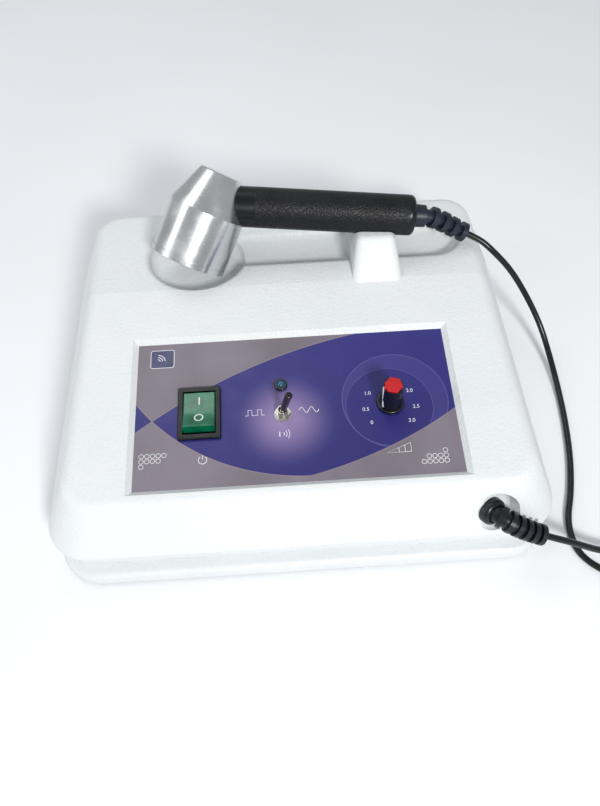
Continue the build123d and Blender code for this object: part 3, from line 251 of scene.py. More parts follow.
@dataclass(frozen=True)
class TurnedMetal:
    """Lathe-turned aluminium: fine rings round an axis, a few scratches and soft smudges."""

    name: str
    centre: Vector
    axis: Vector
    colour: str = "d6d8d9"
    roughness: float = 0.24
    rings: float = 5200.0
    anisotropy: float = 0.55

    def build(self) -> bpy.types.Material:
        """Build the material."""
        nodes = Nodes(self.name)
        at = nodes.position()
        away = nodes.add("ShaderNodeVectorMath", {0: at, 1: tuple(self.centre)}, operation="SUBTRACT").outputs[0]
        along = nodes.add("ShaderNodeVectorMath", {0: away, 1: tuple(self.axis)},
                          operation="DOT_PRODUCT").outputs["Value"]
        radial = nodes.add("ShaderNodeVectorMath", {0: away}, operation="LENGTH").outputs["Value"]
        line = nodes.add("ShaderNodeCombineXYZ", {0: along, 1: nodes.math("MULTIPLY", radial, 0.2)}).outputs[0]
        rings = nodes.noise(self.rings, 3.0, line, 0.7)
        wide = nodes.noise(self.rings / 9, 2.0, line)
        turned = nodes.math("ADD", rings, nodes.math("MULTIPLY", wide, 0.6))
        nodes.put(nodes.shader.inputs["Normal"], nodes.bump(turned, 0.00002, 0.6))
        smudge = nodes.ramp(nodes.noise(70.0, 5.0), 0.35, 0.75, self.roughness - 0.05, self.roughness + 0.09)
        scratch = nodes.ramp(nodes.noise(900.0, 1.0), 0.70, 0.74, 0.0, 0.12)
        nodes.put(nodes.shader.inputs["Roughness"], nodes.math("ADD", smudge, scratch))
        dull = nodes.ramp(nodes.noise(30.0, 3.0), 0.3, 0.7, 0.0, 0.35)
        nodes.put(nodes.shader.inputs["Base Color"], nodes.mix(dull, tint(self.colour), tint("b7b9bb")))
        nodes.shader.inputs["Metallic"].default_value = 1.0
        nodes.shader.inputs["Anisotropic"].default_value = self.anisotropy
        return nodes.material


@dataclass(frozen=True)
class GrainedGrip:
    """Black grip with a leather-like grain between two smooth end rings."""

    name: str
    start: Vector
    axis: Vector
    length: float
    ring: float = 0.008

    def build(self) -> bpy.types.Material:
        """Build the material."""
        nodes = Nodes(self.name)
        at = nodes.position()
        away = nodes.add("ShaderNodeVectorMath", {0: at, 1: tuple(self.start)}, operation="SUBTRACT").outputs[0]
        along = nodes.add("ShaderNodeVectorMath", {0: away, 1: tuple(self.axis)},
                          operation="DOT_PRODUCT").outputs["Value"]
        left = nodes.ramp(along, self.ring, self.ring + 0.0012)
        right = nodes.ramp(along, self.length - 0.0052, self.length - 0.004, 1.0, 0.0)
        textured = nodes.math("MULTIPLY", left, right)
        cells = nodes.add("ShaderNodeTexVoronoi", {"Vector": at, "Scale": 1150.0},
                          feature="SMOOTH_F1").outputs["Distance"]
        skin = nodes.math("MULTIPLY", nodes.ramp(cells, 0.1, 0.6, 1.0, 0.0), textured)
        fine = nodes.math("MULTIPLY", nodes.noise(3000.0, 2.0), 0.25)
        nodes.put(nodes.shader.inputs["Normal"], nodes.bump(nodes.math("ADD", skin, fine), 0.00018))
        cloud = nodes.ramp(nodes.noise(60.0, 4.0), 0.35, 0.7)
        nodes.put(nodes.shader.inputs["Base Color"], nodes.mix(cloud, tint("0b0c0f"), tint("131418")))
        nodes.put(nodes.shader.inputs["Roughness"], nodes.ramp(textured, 0.0, 1.0, 0.28, 0.40))
        nodes.shader.inputs["Specular IOR Level"].default_value = 0.3
        return nodes.material


@dataclass(frozen=True)
class TintedPlastic:
    """Clear coloured plastic of a lens or an illuminated button, with soft depth in its colour."""

    name: str
    colour: str
    deep: str
    roughness: float = 0.16
    glow: float = 0.0

    def build(self) -> bpy.types.Material:
        """Build the material."""
        nodes = Nodes(self.name)
        cloud = nodes.ramp(nodes.noise(160.0, 3.0), 0.25, 0.75)
        colour = nodes.mix(cloud, tint(self.colour), tint(self.deep))
        nodes.put(nodes.shader.inputs["Base Color"], colour)
        nodes.put(nodes.shader.inputs["Emission Color"], colour)
        nodes.shader.inputs["Emission Strength"].default_value = self.glow
        nodes.put(nodes.shader.inputs["Roughness"],
                  nodes.ramp(nodes.noise(240.0, 3.0), 0.3, 0.7, self.roughness, self.roughness + 0.08))
        nodes.shader.inputs["Transmission Weight"].default_value = 0.15
        nodes.shader.inputs["Coat Weight"].default_value = 0.6
        nodes.shader.inputs["Coat Roughness"].default_value = 0.08
        return nodes.material


# ------------------------------------------------------------------ the printed panel


@dataclass(frozen=True)
class PanelFace:
    """The printed surface: where it is, and the way from its own coordinates (x, up the slope) to the frame."""

    fold_y: float = -101.5 * MM
    fold_z: float = 57.0 * MM
    tilt: float = radians(6.0)
    depth: float = 3.0 * MM

    @property
    def up_slope(self) -> Vector:
        """Direction up the slope."""
        return Vector((0, cos(self.tilt), sin(self.tilt)))

    @property
    def normal(self) -> Vector:
        """Outward normal."""
        return Vector((0, -sin(self.tilt), cos(self.tilt)))

    @property
    def origin(self) -> Vector:
        """Point at x 0 on the fold, at the printed surface."""
        return Vector((0, self.fold_y, self.fold_z)) - self.normal * self.depth

    def matrix(self, x: float = 0.0, t: float = 0.0, h: float = 0.0) -> Matrix:
        """Return the placing of a flat drawing whose origin goes to x, t and height h in millimetres."""
        place = self.origin + Vector((x, 0, 0)) * MM + self.up_slope * t * MM + self.normal * h * MM
        turned = Matrix((Vector((1, 0, 0)), self.up_slope, self.normal)).transposed()
        return Matrix.Translation(place) @ turned.to_4x4()


PANEL = PanelFace()


@dataclass(frozen=True)
class Arc:
    """A printed curve: a circle in panel millimetres."""

    x: float
    t: float
    r: float


@dataclass(frozen=True)
class PrintedFilm:
    """The panel's print: a violet field between long arcs on mauve grey, with a soft glow and faint rings."""

    name: str = "printed_film"
    upper: Arc = Arc(100.0, -206.3, 317.0)
    lower: Arc = Arc(7.8, 136.8, 124.6)
    right: Arc = Arc(-51.1, 264.5, 258.7)
    glow: Arc = Arc(-6.5, 48.5, 33.0)
    ring_wide: Arc = Arc(58.3, 57.0, 31.0)
    ring_small: Arc = Arc(54.6, 53.0, 25.4)
    line: float = 0.28

    def build(self) -> bpy.types.Material:
        """Build the material."""
        nodes = Nodes(self.name)
        away = nodes.add("ShaderNodeVectorMath", {0: nodes.position(), 1: tuple(PANEL.origin)},
                         operation="SUBTRACT").outputs[0]
        across = nodes.add("ShaderNodeVectorMath", {0: away, 1: (1000.0, 0.0, 0.0)},
                           operation="DOT_PRODUCT").outputs["Value"]
        slope = PANEL.up_slope * 1000.0
        up = nodes.add("ShaderNodeVectorMath", {0: away, 1: tuple(slope)}, operation="DOT_PRODUCT").outputs["Value"]
        flat = nodes.add("ShaderNodeCombineXYZ", {0: across, 1: up}).outputs[0]

        def inside(arc: Arc) -> bpy.types.NodeSocket:
            """Return the distance in from the circle, in millimetres."""
            far = nodes.add("ShaderNodeVectorMath", {0: flat, 1: (arc.x, arc.t, 0.0)},
                            operation="DISTANCE").outputs["Value"]
            return nodes.math("SUBTRACT", arc.r, far)

        above, below, side = inside(self.upper), inside(self.lower), inside(self.right)
        edge = 0.09
        under = nodes.ramp(above, -edge, edge)
        bowl = nodes.math("MINIMUM", below, side)
        over = nodes.ramp(bowl, -edge, edge)
        same = nodes.math("ADD", nodes.math("MULTIPLY", under, over),
                          nodes.math("MULTIPLY", nodes.math("SUBTRACT", 1.0, under),
                                     nodes.math("SUBTRACT", 1.0, over)), clamp=True)
        cloud = nodes.ramp(nodes.noise(22.0, 3.0), 0.3, 0.7)
        dither = nodes.noise(2400.0, 1.0)
        grey = nodes.mix(cloud, tint("6e666f"), tint("7d7580"))
        violet = nodes.mix(nodes.ramp(up, 8.0, 100.0), tint("26246a"), tint("2b2873"))
        shine = nodes.math("POWER", nodes.ramp(inside(self.glow), 0.0, self.glow.r), 1.15)
        soft = nodes.math("MULTIPLY", shine, nodes.math("ADD", 0.86, nodes.math("MULTIPLY", dither, 0.16)))
        field = nodes.mix(soft, violet, tint("9480ac"))
        wide, small = inside(self.ring_wide), inside(self.ring_small)
        moon = nodes.math("MULTIPLY", nodes.ramp(wide, -0.1, 0.1), nodes.ramp(small, -0.1, 0.1, 1.0, 0.0))
        field = nodes.mix(nodes.math("MULTIPLY", moon, 0.07), field, tint("8f84c8"))
        rim = nodes.math("MAXIMUM", nodes.ramp(nodes.math("ABSOLUTE", wide), 0.0, 0.35, 1.0, 0.0),
                         nodes.ramp(nodes.math("ABSOLUTE", small), 0.0, 0.3, 0.8, 0.0))
        field = nodes.mix(nodes.math("MULTIPLY", rim, 0.22), field, tint("a79ad6"))
        ground = nodes.mix(same, grey, field)
        near = nodes.math("MINIMUM", nodes.math("ABSOLUTE", above), nodes.math("ABSOLUTE", bowl))
        outline = nodes.ramp(near, self.line * 0.5, self.line, 1.0, 0.0)
        inked = nodes.mix(nodes.math("MULTIPLY", outline, 0.62), ground, tint("a08c86"))
        nodes.put(nodes.shader.inputs["Base Color"], inked)
        nodes.put(nodes.shader.inputs["Roughness"], nodes.ramp(nodes.noise(90.0, 4.0), 0.3, 0.7, 0.34, 0.44))
        nodes.shader.inputs["Specular IOR Level"].default_value = 0.45
        nodes.put(nodes.shader.inputs["Normal"], nodes.bump(nodes.noise(1900.0, 2.0), 0.00003))
        return nodes.material


# ------------------------------------------------------------------ making pieces


def finished(name: str, mesh: bpy.types.Mesh, material: bpy.types.Material, body: str,
             smooth: bool = True) -> bpy.types.Object:
    """Make a finished piece that rides on a body.

    Args:
        name: piece name.
        mesh: its mesh, in place.
        material: its finish.
        body: the CAD body that carries it.
        smooth: smooth shading by angle.

    Returns:
        The piece.
    """
    piece = bpy.data.objects.new(name, mesh)
    bpy.context.scene.collection.objects.link(piece)
    mesh.materials.clear()
    mesh.materials.append(material)
    if smooth:
        mesh.shade_smooth()
        mesh.set_sharp_from_angle(angle=radians(38))
    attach(piece, body)
    LOG.info("%s: %d faces on %s", name, len(mesh.polygons), body)
    return piece


def drawn(curve: bpy.types.Curve) -> bpy.types.Mesh:
    """Turn a curve or text into a mesh and drop the curve.

    Args:
        curve: the curve data.

    Returns:
        The mesh, in the curve's own coordinates.
    """
    holder = bpy.data.objects.new("drawing", curve)
    bpy.context.scene.collection.objects.link(holder)
    bpy.context.view_layer.update()
    mesh = bpy.data.meshes.new_from_object(holder)
    bpy.data.objects.remove(holder)
    return mesh


class Ink:
    """Collects flat printed lines and figures of one colour, in millimetres of a face, into one thin mesh."""

    THICK = 0.045 * MM

    def __init__(self, face: Matrix | None = None) -> None:
        """Start with an empty drawing.

        Args:
            face: placing of the drawing's plane, the panel by default.
        """
        self.face = PANEL.matrix() if face is None else face
        self.mesh = bmesh.new()

    def _take(self, mesh: bpy.types.Mesh, place: Matrix) -> None:
        """Add a mesh, moved by place."""
        mesh.transform(place)
        self.mesh.from_mesh(mesh)
        bpy.data.meshes.remove(mesh)

    def line(self, points: list[tuple[float, float]], width: float, closed: bool = False) -> None:
        """Draw a line.

        Args:
            points: panel coordinates in millimetres.
            width: line width in millimetres.
            closed: join the last point to the first.
        """
        curve = bpy.data.curves.new("line", "CURVE")
        curve.dimensions = "3D"
        curve.bevel_depth = width / 2 * MM
        curve.bevel_resolution = 1
        curve.use_fill_caps = True
        spline = curve.splines.new("POLY")
        spline.points.add(len(points) - 1)
        for point, (x, t) in zip(spline.points, points):
            point.co = (x * MM, t * MM, 0, 1)
        spline.use_cyclic_u = closed
        squash = Matrix.Diagonal((1, 1, self.THICK * 2 / (width * MM), 1))
        self._take(drawn(curve), self.face @ squash)

    def ring(self, x: float, t: float, radius: float, width: float, start: float = 0.0,
             sweep: float = 360.0) -> None:
        """Draw a circle or an arc.

        Args:
            x: centre across.
            t: centre up the slope.
            radius: radius in millimetres.
            width: line width.
            start: first angle in degrees.
            sweep: angle covered in degrees.
        """
        count = max(8, int(sweep / 12))
        steps = count if sweep >= 360 else count + 1
        turns = [radians(start + sweep * i / count) for i in range(steps)]
        points = [(x + radius * cos(a), t + radius * sin(a)) for a in turns]
        self.line(points, width, closed=sweep >= 360)

    def figure(self, text: str, x: float, t: float, height: float) -> None:
        """Write a number, centred on x, t.

        Args:
            text: the number.
            x: centre across.
            t: centre up the slope.
            height: height of a digit in millimetres.
        """
        curve = bpy.data.curves.new("figure", "FONT")
        curve.body = text
        curve.size = height / 0.72 * MM
        curve.extrude = self.THICK
        curve.resolution_u = 4
        mesh = drawn(curve)
        wide = max(v.co.x for v in mesh.vertices) + min(v.co.x for v in mesh.vertices)
        high = max(v.co.y for v in mesh.vertices) + min(v.co.y for v in mesh.vertices)
        self._take(mesh, self.face @ Matrix.Translation((x * MM - wide / 2, t * MM - high / 2, 0)))

    def finish(self, name: str, material: bpy.types.Material, slot: str,
               body: str = "housing") -> bpy.types.Object:
        """Make the drawing a piece.

        Args:
            name: piece name.
            material: the ink.
            slot: the record's material slot, not used.
            body: the CAD body that carries it.

        Returns:
            The printed piece.
        """
        bmesh.ops.recalc_face_normals(self.mesh, faces=self.mesh.faces)
        mesh = bpy.data.meshes.new(name)
        self.mesh.to_mesh(mesh)
        self.mesh.free()
        return finished(name, mesh, material, body, smooth=False)


@dataclass
class RockerMarks:
    """The on and off marks moulded in the switch's button."""

    x: float = -56.1
    t: float = 55.4
    pivot: float = -4.2
    tilt: float = radians(-9.0)
    crown: float = 6.9
    crown_radius: float = 57.9

    def face(self, along: float) -> Matrix:
        """Return the placing of a mark on the button's hollow crown, along millimetres from its middle."""
        rise = self.crown + along ** 2 / (2 * self.crown_radius)
        lean = Matrix.Rotation(along / self.crown_radius, 4, "X")
        button = PANEL.matrix(self.x, self.t, self.pivot) @ Matrix.Rotation(self.tilt, 4, "X")
        return button @ Matrix.Translation((0, along * MM, (rise + 0.03) * MM)) @ lean

    def build(self, white: bpy.types.Material) -> list[bpy.types.Object]:
        """Draw the bar and the ring.

        Args:
            white: the marks' finish.

        Returns:
            The two marks.
        """
        bar = Ink(self.face(6.3))
        bar.line([(0, -2.5), (0, 2.5)], 0.9)
        ring = Ink(self.face(-5.6))
        ring.ring(0, 0, 2.35, 0.85)
        return [bar.finish("rocker_bar", white, "knob_white", "rocker"),
                ring.finish("rocker_ring", white, "knob_white", "rocker")]


@dataclass
class PanelPrint:
    """Everything printed on the panel: dial numbers, dot groups and the small pictures."""

    dial: tuple[tuple[str, float, float], ...] = (
        ("0", 43.2, 42.9), ("0.5", 40.6, 51.8), ("1.0", 42.9, 62.3), ("1.5", 55.4, 68.0),
        ("2.0", 67.5, 62.6), ("2.5", 70.0, 51.8), ("3.0", 66.4, 42.9))
    digit: float = 2.4
    pitch: float = 3.2
    dot: float = 1.32
    stroke: float = 0.42

    def scale(self, ink: Ink) -> None:
        """Write the scale round the knob, clockwise from the lower left."""
        for label, x, t in self.dial:
            ink.figure(label, x, t, self.digit)

    def dots(self, ink: Ink) -> None:
        """Draw the two groups of small rings, one the other turned half round."""
        for corner_x, corner_t, way in ((-88.9, 30.1, 1), (82.6, 16.5, -1)):
            for row, count in enumerate((5, 4, 1)):
                for column in range(count):
                    x = corner_x + way * column * self.pitch
                    ink.ring(x, corner_t - way * row * self.pitch, self.dot, 0.36)

    def picture(self, ink: Ink, legend: Legend, x: float, t: float, size: float) -> None:
        """Draw one small picture.

        Args:
            ink: the drawing.
            legend: which picture.
            x: centre across.
            t: centre up the slope.
            size: half its width in millimetres.
        """
        if legend is Legend.PULSED:
            heights = (-1, -1, 1, 1, -1, -1, 1, 1, -1, -1)
            places = (-1, -0.7, -0.7, -0.3, -0.3, 0.3, 0.3, 0.7, 0.7, 1)
            ink.line([(x + size * u, t + size * 0.32 * v) for u, v in zip(places, heights)], self.stroke)
        elif legend is Legend.CONTINUOUS:
            steps = [i / 24 * 2 - 1 for i in range(25)]
            ink.line([(x + size * u, t + size * 0.32 * sin(2 * pi * u)) for u in steps], self.stroke)
        elif legend is Legend.EMISSION:
            for radius in (0.35, 0.7, 1.05):
                ink.ring(x - size * 0.5, t, size * radius, self.stroke, -38, 76)
            ink.line([(x - size * 0.75, t - size * 0.35), (x - size * 0.75, t + size * 0.35)], self.stroke * 1.6)
        elif legend is Legend.POWER:
            ink.ring(x, t, size * 0.8, self.stroke, 125, 290)
            ink.line([(x, t + size * 0.15), (x, t + size)], self.stroke)
        else:
            corners = [(x - size, t - size * 0.4), (x + size, t - size * 0.4), (x + size, t + size * 0.4)]
            ink.line(corners, self.stroke, closed=True)
            for share in (0.0, 0.5):
                rise = -0.4 + 0.8 * (share + 1) / 2
                ink.line([(x + size * share, t - size * 0.4), (x + size * share, t + size * rise)],
                         self.stroke * 0.8)

    def build(self, white: bpy.types.Material, blue: bpy.types.Material) -> list[bpy.types.Object]:
        """Draw the print.

        Args:
            white: ink of the legends.
            blue: ink of the badge.

        Returns:
            The printed pieces.
        """
        ink = Ink()
        self.scale(ink)
        self.dots(ink)
        self.picture(ink, Legend.PULSED, -24.0, 53.8, 5.6)
        self.picture(ink, Legend.CONTINUOUS, 7.6, 53.8, 5.8)
        self.picture(ink, Legend.EMISSION, -6.8, 39.0, 4.4)
        self.picture(ink, Legend.POWER, -54.3, 25.8, 3.0)
        self.picture(ink, Legend.RAMP, 56.6, 26.0, 7.0)
        self.badge(ink)
        white_print = ink.finish("panel_legends", white, "knob_white")
        return [white_print, self.badge_plate(blue)]

    def badge(self, ink: Ink) -> None:
        """Draw the plain frame and three wave arcs of the badge at the upper left."""
        x, t, wide, high, bend = -78.7, 94.3, 7.0, 6.2, 1.3
        corners = []
        for cx, ct, start in ((1, 1, 0), (-1, 1, 90), (-1, -1, 180), (1, -1, 270)):
            for step in range(5):
                turn = radians(start + 22.5 * step)
                corners.append((x + cx * (wide - bend) + bend * cos(turn),
                                t + ct * (high - bend) + bend * sin(turn)))
        ink.line(corners, 0.5, closed=True)
        for radius in (1.6, 3.1, 4.6):
            ink.ring(x - 3.0, t - 1.6, radius, 0.7, 5, 80)

    def badge_plate(self, material: bpy.types.Material) -> bpy.types.Object:
        """Make the dark field of the badge."""
        drawing = bmesh.new()
        bmesh.ops.create_cube(drawing, size=1.0)
        bmesh.ops.scale(drawing, vec=(13.8 * MM, 12.2 * MM, 0.04 * MM), verts=drawing.verts)
        upright = [e for e in drawing.edges if abs(e.verts[0].co.z - e.verts[1].co.z) > 0.01 * MM]
        bmesh.ops.bevel(drawing, geom=upright, offset=1.2 * MM, segments=4, profile=0.5, affect="EDGES",
                        material=-1)
        bmesh.ops.transform(drawing, matrix=PANEL.matrix(-78.7, 94.3, 0.0), verts=drawing.verts)
        mesh = bpy.data.meshes.new("badge_field")
        drawing.to_mesh(mesh)
        drawing.free()
        return finished("badge_field", mesh, material, "housing", smooth=False)


# ------------------------------------------------------------------ lead


@dataclass
class Lead:
    """The handpiece's lead: down from the handle, once round the case's corner, a tied coil, and the gland."""

    radius: float = 2.0
    coil_centre: tuple[float, float] = (230.0, -132.0)
    coil_radius: float = 23.0
    turns: float = 7.5
    out_route: list[tuple[float, float, float]] = field(default_factory=lambda: [
        (118.6, 70.4, 79.6), (127.7, 68.3, 76.0), (136, 62.5, 71), (150.3, 57.7, 57),
        (163.4, 49.6, 39), (174.5, 37.3, 21.5), (179.9, 19.7, 8.5),
        (181.3, -3.2, 2.5), (179.2, -30.5, 2), (174.7, -60, 2),
        (168.3, -84, 2), (162.4, -98.5, 2), (160.6, -110, 2),
        (162, -122, 2), (169, -131.5, 2), (180, -138, 2), (193, -143.2, 2),
        (207, -148.6, 2), (219.5, -153.2, 2)])
    back_route: list[tuple[float, float, float]] = field(default_factory=lambda: [
        (218, -111.3, 2), (206, -116.8, 2.3), (193.5, -122.6, 4.2),
        (180.5, -126.3, 8.4), (167.5, -126.6, 14.8), (155, -125.6, 22.4),
        (143.3, -124.3, 27.8), (133.5, -122.5, 31)])

    def coil(self) -> list[tuple[float, float, float]]:
        """Work out the coil's turns: three beside each other in three layers, a diameter apart.

        Returns:
            Points in millimetres, 12 a turn, from the front of the coil round to its back.
        """
        cx, cy = self.coil_centre
        lanes = [(-1, 0), (0, 0), (1, 0), (1, 1), (0, 1), (-1, 1), (-1, 2), (0, 2), (1, 2)]
        pitch = 2 * self.radius * 0.98
        points = []
        count = int(self.turns * 12)
        for step in range(count + 1):
            done = step / 12
            lane = int(done)
            share = max(0.0, (done - lane - 0.7) / 0.3)
            share = share * share * (3 - 2 * share)
            first, second = lanes[lane], lanes[min(lane + 1, len(lanes) - 1)]
            side = first[0] + (second[0] - first[0]) * share
            layer = first[1] + (second[1] - first[1]) * share
            reach = (self.coil_radius + side * pitch) / cos(pi / 12)
            turn = -pi / 2 + 2 * pi * done
            points.append((cx + reach * cos(turn), cy + reach * sin(turn), self.radius + layer * pitch))
        return points

    def spline(self) -> tuple[list[Vector], float]:
        """Lay the whole lead as one smooth line.

        Returns:
            Points along the line in metres, and its length.
        """
        curve = bpy.data.curves.new("lead_line", "CURVE")
        curve.dimensions = "3D"
        curve.resolution_u = 6
        line = curve.splines.new("NURBS")
        places = self.out_route + self.coil() + self.back_route
        line.points.add(len(places) - 1)
        for point, place in zip(line.points, places):
            point.co = (*(c * MM for c in place), 1)
        line.order_u = 3
        line.use_endpoint_u = True
        mesh = drawn(curve)
        path = [v.co.copy() for v in mesh.vertices]
        bpy.data.meshes.remove(mesh)
        length = sum((b - a).length for a, b in zip(path, path[1:]))
        return path, length

    def tube(self, path: list[Vector]) -> bpy.types.Mesh:
        """Make the jacket along the line.

        Args:
            path: points along the centre.

        Returns:
            The mesh.
        """
        curve = bpy.data.curves.new("lead_jacket", "CURVE")
        curve.dimensions = "3D"
        curve.bevel_depth = self.radius * MM
        curve.bevel_resolution = 4
        curve.use_fill_caps = True
        line = curve.splines.new("POLY")
        line.points.add(len(path) - 1)
        for point, place in zip(line.points, path):
            point.co = (*place, 1)
        return drawn(curve)

    def build(self, jacket: bpy.types.Material, tie: bpy.types.Material) -> bpy.types.Object:
        """Make the lead and its tie.

        Args:
            jacket: finish of the lead.
            tie: finish of the tie.

        Returns:
            The lead.
        """
        path, length = self.spline()
        mesh = self.tube(path)
        lead = bpy.data.objects.new("lead", mesh)
        bpy.context.scene.collection.objects.link(lead)
        mesh.materials.append(jacket)
        mesh.shade_smooth()
        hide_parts("handpiece_lead", "return_lead", "lead_coil")
        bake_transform(lead)
        wrap = self.tie(tie)
        LOG.info("lead: %.3f m", length)
        return lead

    def tie(self, material: bpy.types.Material) -> bpy.types.Object:
        """Make the hook-and-loop tie round the coil's far side."""
        cx, cy = self.coil_centre
        strap = bmesh.new()
        bmesh.ops.create_cube(strap, size=1.0)
        bmesh.ops.scale(strap, vec=(13.6 * MM, 8.0 * MM, 12.4 * MM), verts=strap.verts)
        long_edges = [e for e in strap.edges if abs(e.verts[0].co.y - e.verts[1].co.y) > MM]
        bmesh.ops.bevel(strap, geom=long_edges, offset=3.2 * MM, segments=5, profile=0.5, affect="EDGES",
                        material=-1)
        ends = [f for f in strap.faces if abs(f.normal.y) > 0.9]
        bmesh.ops.delete(strap, geom=ends, context="FACES_ONLY")
        bmesh.ops.solidify(strap, geom=strap.faces[:], thickness=0.5 * MM)
        bmesh.ops.recalc_face_normals(strap, faces=strap.faces)
        place = Matrix.Translation(Vector((cx + self.coil_radius, cy, 6.35)) * MM)
        bmesh.ops.transform(strap, matrix=place, verts=strap.verts)
        mesh = bpy.data.meshes.new("coil_tie")
        strap.to_mesh(mesh)
        strap.free()
        piece = finished("coil_tie", mesh, material, "housing")
        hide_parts("lead_tie")
        return piece


# ------------------------------------------------------------------ dressing the CAD parts


@dataclass
class Dressing:
    """Finishes for the CAD parts, by the record's material slot."""

    rim: Vector = field(default_factory=lambda: Vector((-63.41, 61.8, 77.58)) * MM)
    head_axis: Vector = field(default_factory=lambda: Vector((0.4514, 0.5436, 0.7077)).normalized())
    grip_start: Vector = field(default_factory=lambda: Vector((-25.9, 81.0, 102.8)) * MM)
    grip_axis: Vector = field(default_factory=lambda: Vector((0.9946, -0.0689, -0.0775)).normalized())

    def finishes(self) -> dict[str, bpy.types.Material]:
        """Build every finish.

        Returns:
            Material by slot name.
        """
        plain = [
            Finish("foot_rubber", "141414", "1d1d1d", 0.75),
            Finish("plated_screw", "a9a7a0", "8f8d87", 0.32, 1.0),
            Finish("switch_black", "060607", "0b0b0d", 0.34, coat=0.1, grain_depth=0.00002, specular=0.35),
            Finish("lamp_black", "0a1016", "10181f", 0.3, coat=0.2),
            Finish("nickel", "c9c6bd", "a8a59c", 0.22, 1.0, grain_depth=0.00001),
            Finish("sleeve_plastic", "07080b", "0e1015", 0.2, coat=0.3, grain_depth=0.00001),
            Finish("pot_metal", "8d8d90", "7a7a7d", 0.4, 1.0),
            Finish("knob_black", "060708", "0b0c0e", 0.24, coat=0.2, grain_depth=0.00002),
            Finish("knob_red", "c00f18", "a80b14", 0.4, grain_depth=0.00002),
            Finish("knob_white", "e8e8ea", "d9d9dd", 0.5, grain_depth=0.00001),
            Finish("gland_black", "0b0e13", "121820", 0.36, grain_depth=0.00003, specular=0.4),
            Finish("nut_black", "111111", "191919", 0.5),
            Finish("inlet_black", "0e0e0f", "171718", 0.5),
            Finish("core_steel", "3a3a3c", "2c2c2e", 0.55, 0.8),
            Finish("winding_tape", "d7b13a", "c29a2a", 0.45),
            Finish("bracket_steel", "a5a5a2", "8c8c8a", 0.4, 1.0),
            Finish("board_green", "0f5a30", "0b4a27", 0.35, coat=0.4),
            Finish("brass", "c39b4a", "a98338", 0.3, 1.0),
            Finish("capacitor_sleeve", "14184a", "1b2058", 0.3, coat=0.3),
            Finish("heatsink_black", "151515", "202020", 0.45, 0.6),
            Finish("chip_black", "0f0f10", "191919", 0.6),
            Finish("ferrite", "26262a", "1e1e21", 0.6),
            Finish("header_white", "ded9c6", "cfcab6", 0.45),
            Finish("ceramic", "d2c7ac", "c4b898", 0.6),
            Finish("seal_rubber", "9a4a34", "8b3f2b", 0.6),
            Finish("ring_brass", "c39b4a", "a98338", 0.3, 1.0),
            Finish("tube_aluminium", "c4c5c7", "aeb0b2", 0.3, 1.0),
            Finish("relief_navy", "121824", "1b2434", 0.38, grain_depth=0.00004, specular=0.4),
            Finish("lead_jacket", "07080a", "0d0e11", 0.3, coat=0.1, grain_depth=0.00002, specular=0.4),
            Finish("tie_black", "15151a", "1f1f25", 0.85, grain=1500.0, grain_depth=0.0002),
            PebbleShell("case_shell", "e0e3e3", "dbdfe0"),
            PebbleShell("tray_shell", "dde1e2", "d8dcde"),
            TintedPlastic("rocker_green", "077a55", "045c40", 0.22),
            TintedPlastic("lamp_lens", "0d6a92", "07445f"),
            TintedPlastic("fuse_glass", "c9d6d8", "b5c4c6"),
            TurnedMetal("head_aluminium", self.rim, self.head_axis),
            TurnedMetal("face_aluminium", self.rim, self.head_axis, roughness=0.18, rings=3800.0),
            GrainedGrip("grip_black", self.grip_start, self.grip_axis, 0.110),
            PrintedFilm("panel_print"),
        ]
        return {finish.name: finish.build() for finish in plain}

    def dress(self, finishes: dict[str, bpy.types.Material]) -> None:
        """Give each CAD part the finish of its slot.

        Args:
            finishes: material by slot name.
        """
        for part in frame["record"]["subparts"]:
            node = frame["nodes"][part["node"]]
            for place in node.material_slots:
                place.material = finishes[part["material_slot"]]


# ------------------------------------------------------------------ studio


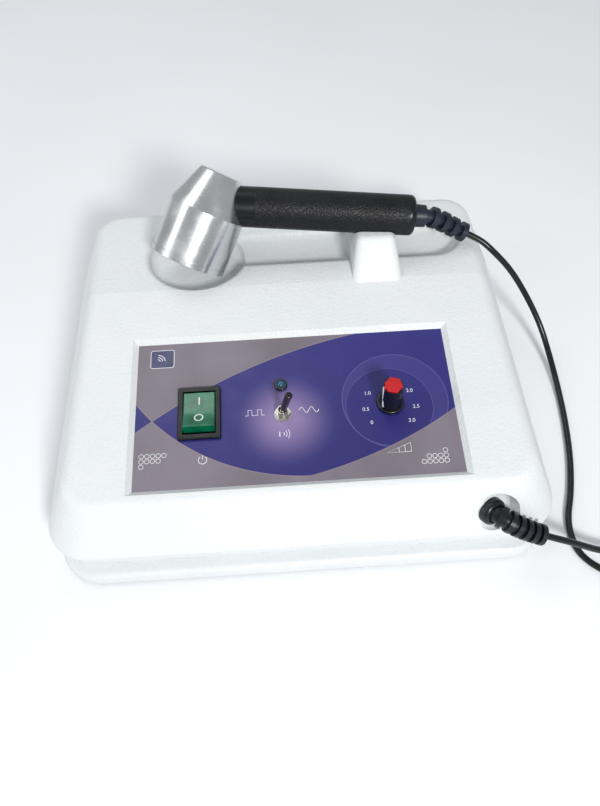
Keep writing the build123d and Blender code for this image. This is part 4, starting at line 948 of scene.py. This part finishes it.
@dataclass
class Studio:
    """Pale floor, soft lights and the camera."""

    eye: tuple[float, float, float] = (-0.0047, -0.2829, 0.4087)
    pitch: float = radians(55.45)
    yaw: float = radians(1.84)
    roll: float = radians(-1.96)
    focal: float = 723.0
    centre: tuple[float, float] = (300.6, 402.9)
    width: int = 600
    height: int = 806

    def camera(self) -> None:
        """Place the camera."""
        data = bpy.data.cameras.new("camera")
        data.sensor_fit = "HORIZONTAL"
        data.sensor_width = 36.0
        data.lens = self.focal / self.width * 36.0
        data.shift_x = -(self.centre[0] - self.width / 2) / self.width
        data.shift_y = (self.centre[1] - self.height / 2) / self.width
        data.clip_start = 0.01
        camera = bpy.data.objects.new("camera", data)
        bpy.context.scene.collection.objects.link(camera)
        ahead = Vector((sin(self.yaw) * cos(self.pitch), cos(self.yaw) * cos(self.pitch), -sin(self.pitch)))
        right = Vector((cos(self.yaw), -sin(self.yaw), 0))
        up = right.cross(ahead)
        side = right * cos(self.roll) + up * sin(self.roll)
        top = up * cos(self.roll) - right * sin(self.roll)
        turned = Matrix((side, top, -ahead)).transposed()
        camera.matrix_world = Matrix.Translation(self.eye) @ turned.to_4x4()
        bpy.context.scene.camera = camera

    def lamp(self, name: str, place: tuple[float, float, float], aim: tuple[float, float, float],
             size: tuple[float, float], power: float, colour: tuple[float, float, float]) -> None:
        """Add one soft light.

        Args:
            name: its name.
            place: where it stands.
            aim: the point it faces.
            size: its width and height.
            power: watts.
            colour: its tint.
        """
        data = bpy.data.lights.new(name, "AREA")
        data.shape = "RECTANGLE"
        data.size, data.size_y = size
        data.energy = power
        data.color = colour
        lamp = bpy.data.objects.new(name, data)
        bpy.context.scene.collection.objects.link(lamp)
        lamp.location = place
        lamp.rotation_euler = (Vector(aim) - Vector(place)).to_track_quat("-Z", "Y").to_euler()

    def build(self) -> None:
        """Build the floor, the lights and the camera."""
        self.camera()
        floor = bmesh.new()
        bmesh.ops.create_grid(floor, x_segments=1, y_segments=1, size=3.0)
        mesh = bpy.data.meshes.new("floor")
        floor.to_mesh(mesh)
        floor.free()
        ground = bpy.data.objects.new("floor", mesh)
        bpy.context.scene.collection.objects.link(ground)
        nodes = Nodes("floor_paper")
        cloud = nodes.ramp(nodes.noise(3.0, 2.0), 0.3, 0.7)
        nodes.put(nodes.shader.inputs["Base Color"], nodes.mix(cloud, tint("f1f2f4"), tint("eceef0")))
        nodes.shader.inputs["Roughness"].default_value = 0.9
        mesh.materials.append(nodes.material)
        self.lamp("key", (0.3, -0.95, 0.8), (0.0, -0.02, 0.05), (0.22, 0.2), 11.0, (1.0, 0.99, 0.98))
        self.lamp("top", (-0.3, 0.45, 1.0), (0.0, 0.0, 0.05), (0.7, 0.5), 2.2, (0.97, 0.98, 1.0))
        self.lamp("left", (-0.95, -0.1, 0.5), (0.0, 0.05, 0.06), (0.2, 0.9), 2.0, (0.95, 0.97, 1.0))
        world = bpy.data.worlds.new("studio")
        world.use_nodes = True
        world.node_tree.nodes["Background"].inputs["Color"].default_value = (0.90, 0.93, 0.96, 1)
        world.node_tree.nodes["Background"].inputs["Strength"].default_value = 0.5
        bpy.context.scene.world = world
        bpy.context.scene.view_settings.view_transform = "Standard"


def main() -> None:
    """Build the pieces, the finishes and the studio."""
    logging.basicConfig(level=logging.INFO, format="%(name)s %(message)s")
    Studio().build()
    dressing = Dressing()
    finishes = dressing.finishes()
    Lead().build(finishes["lead_jacket"], finishes["tie_black"])
    dressing.dress(finishes)
    PanelPrint().build(finishes["knob_white"], finishes["capacitor_sleeve"])
    RockerMarks().build(finishes["knob_white"])


if __name__ == "__main__":
    main()
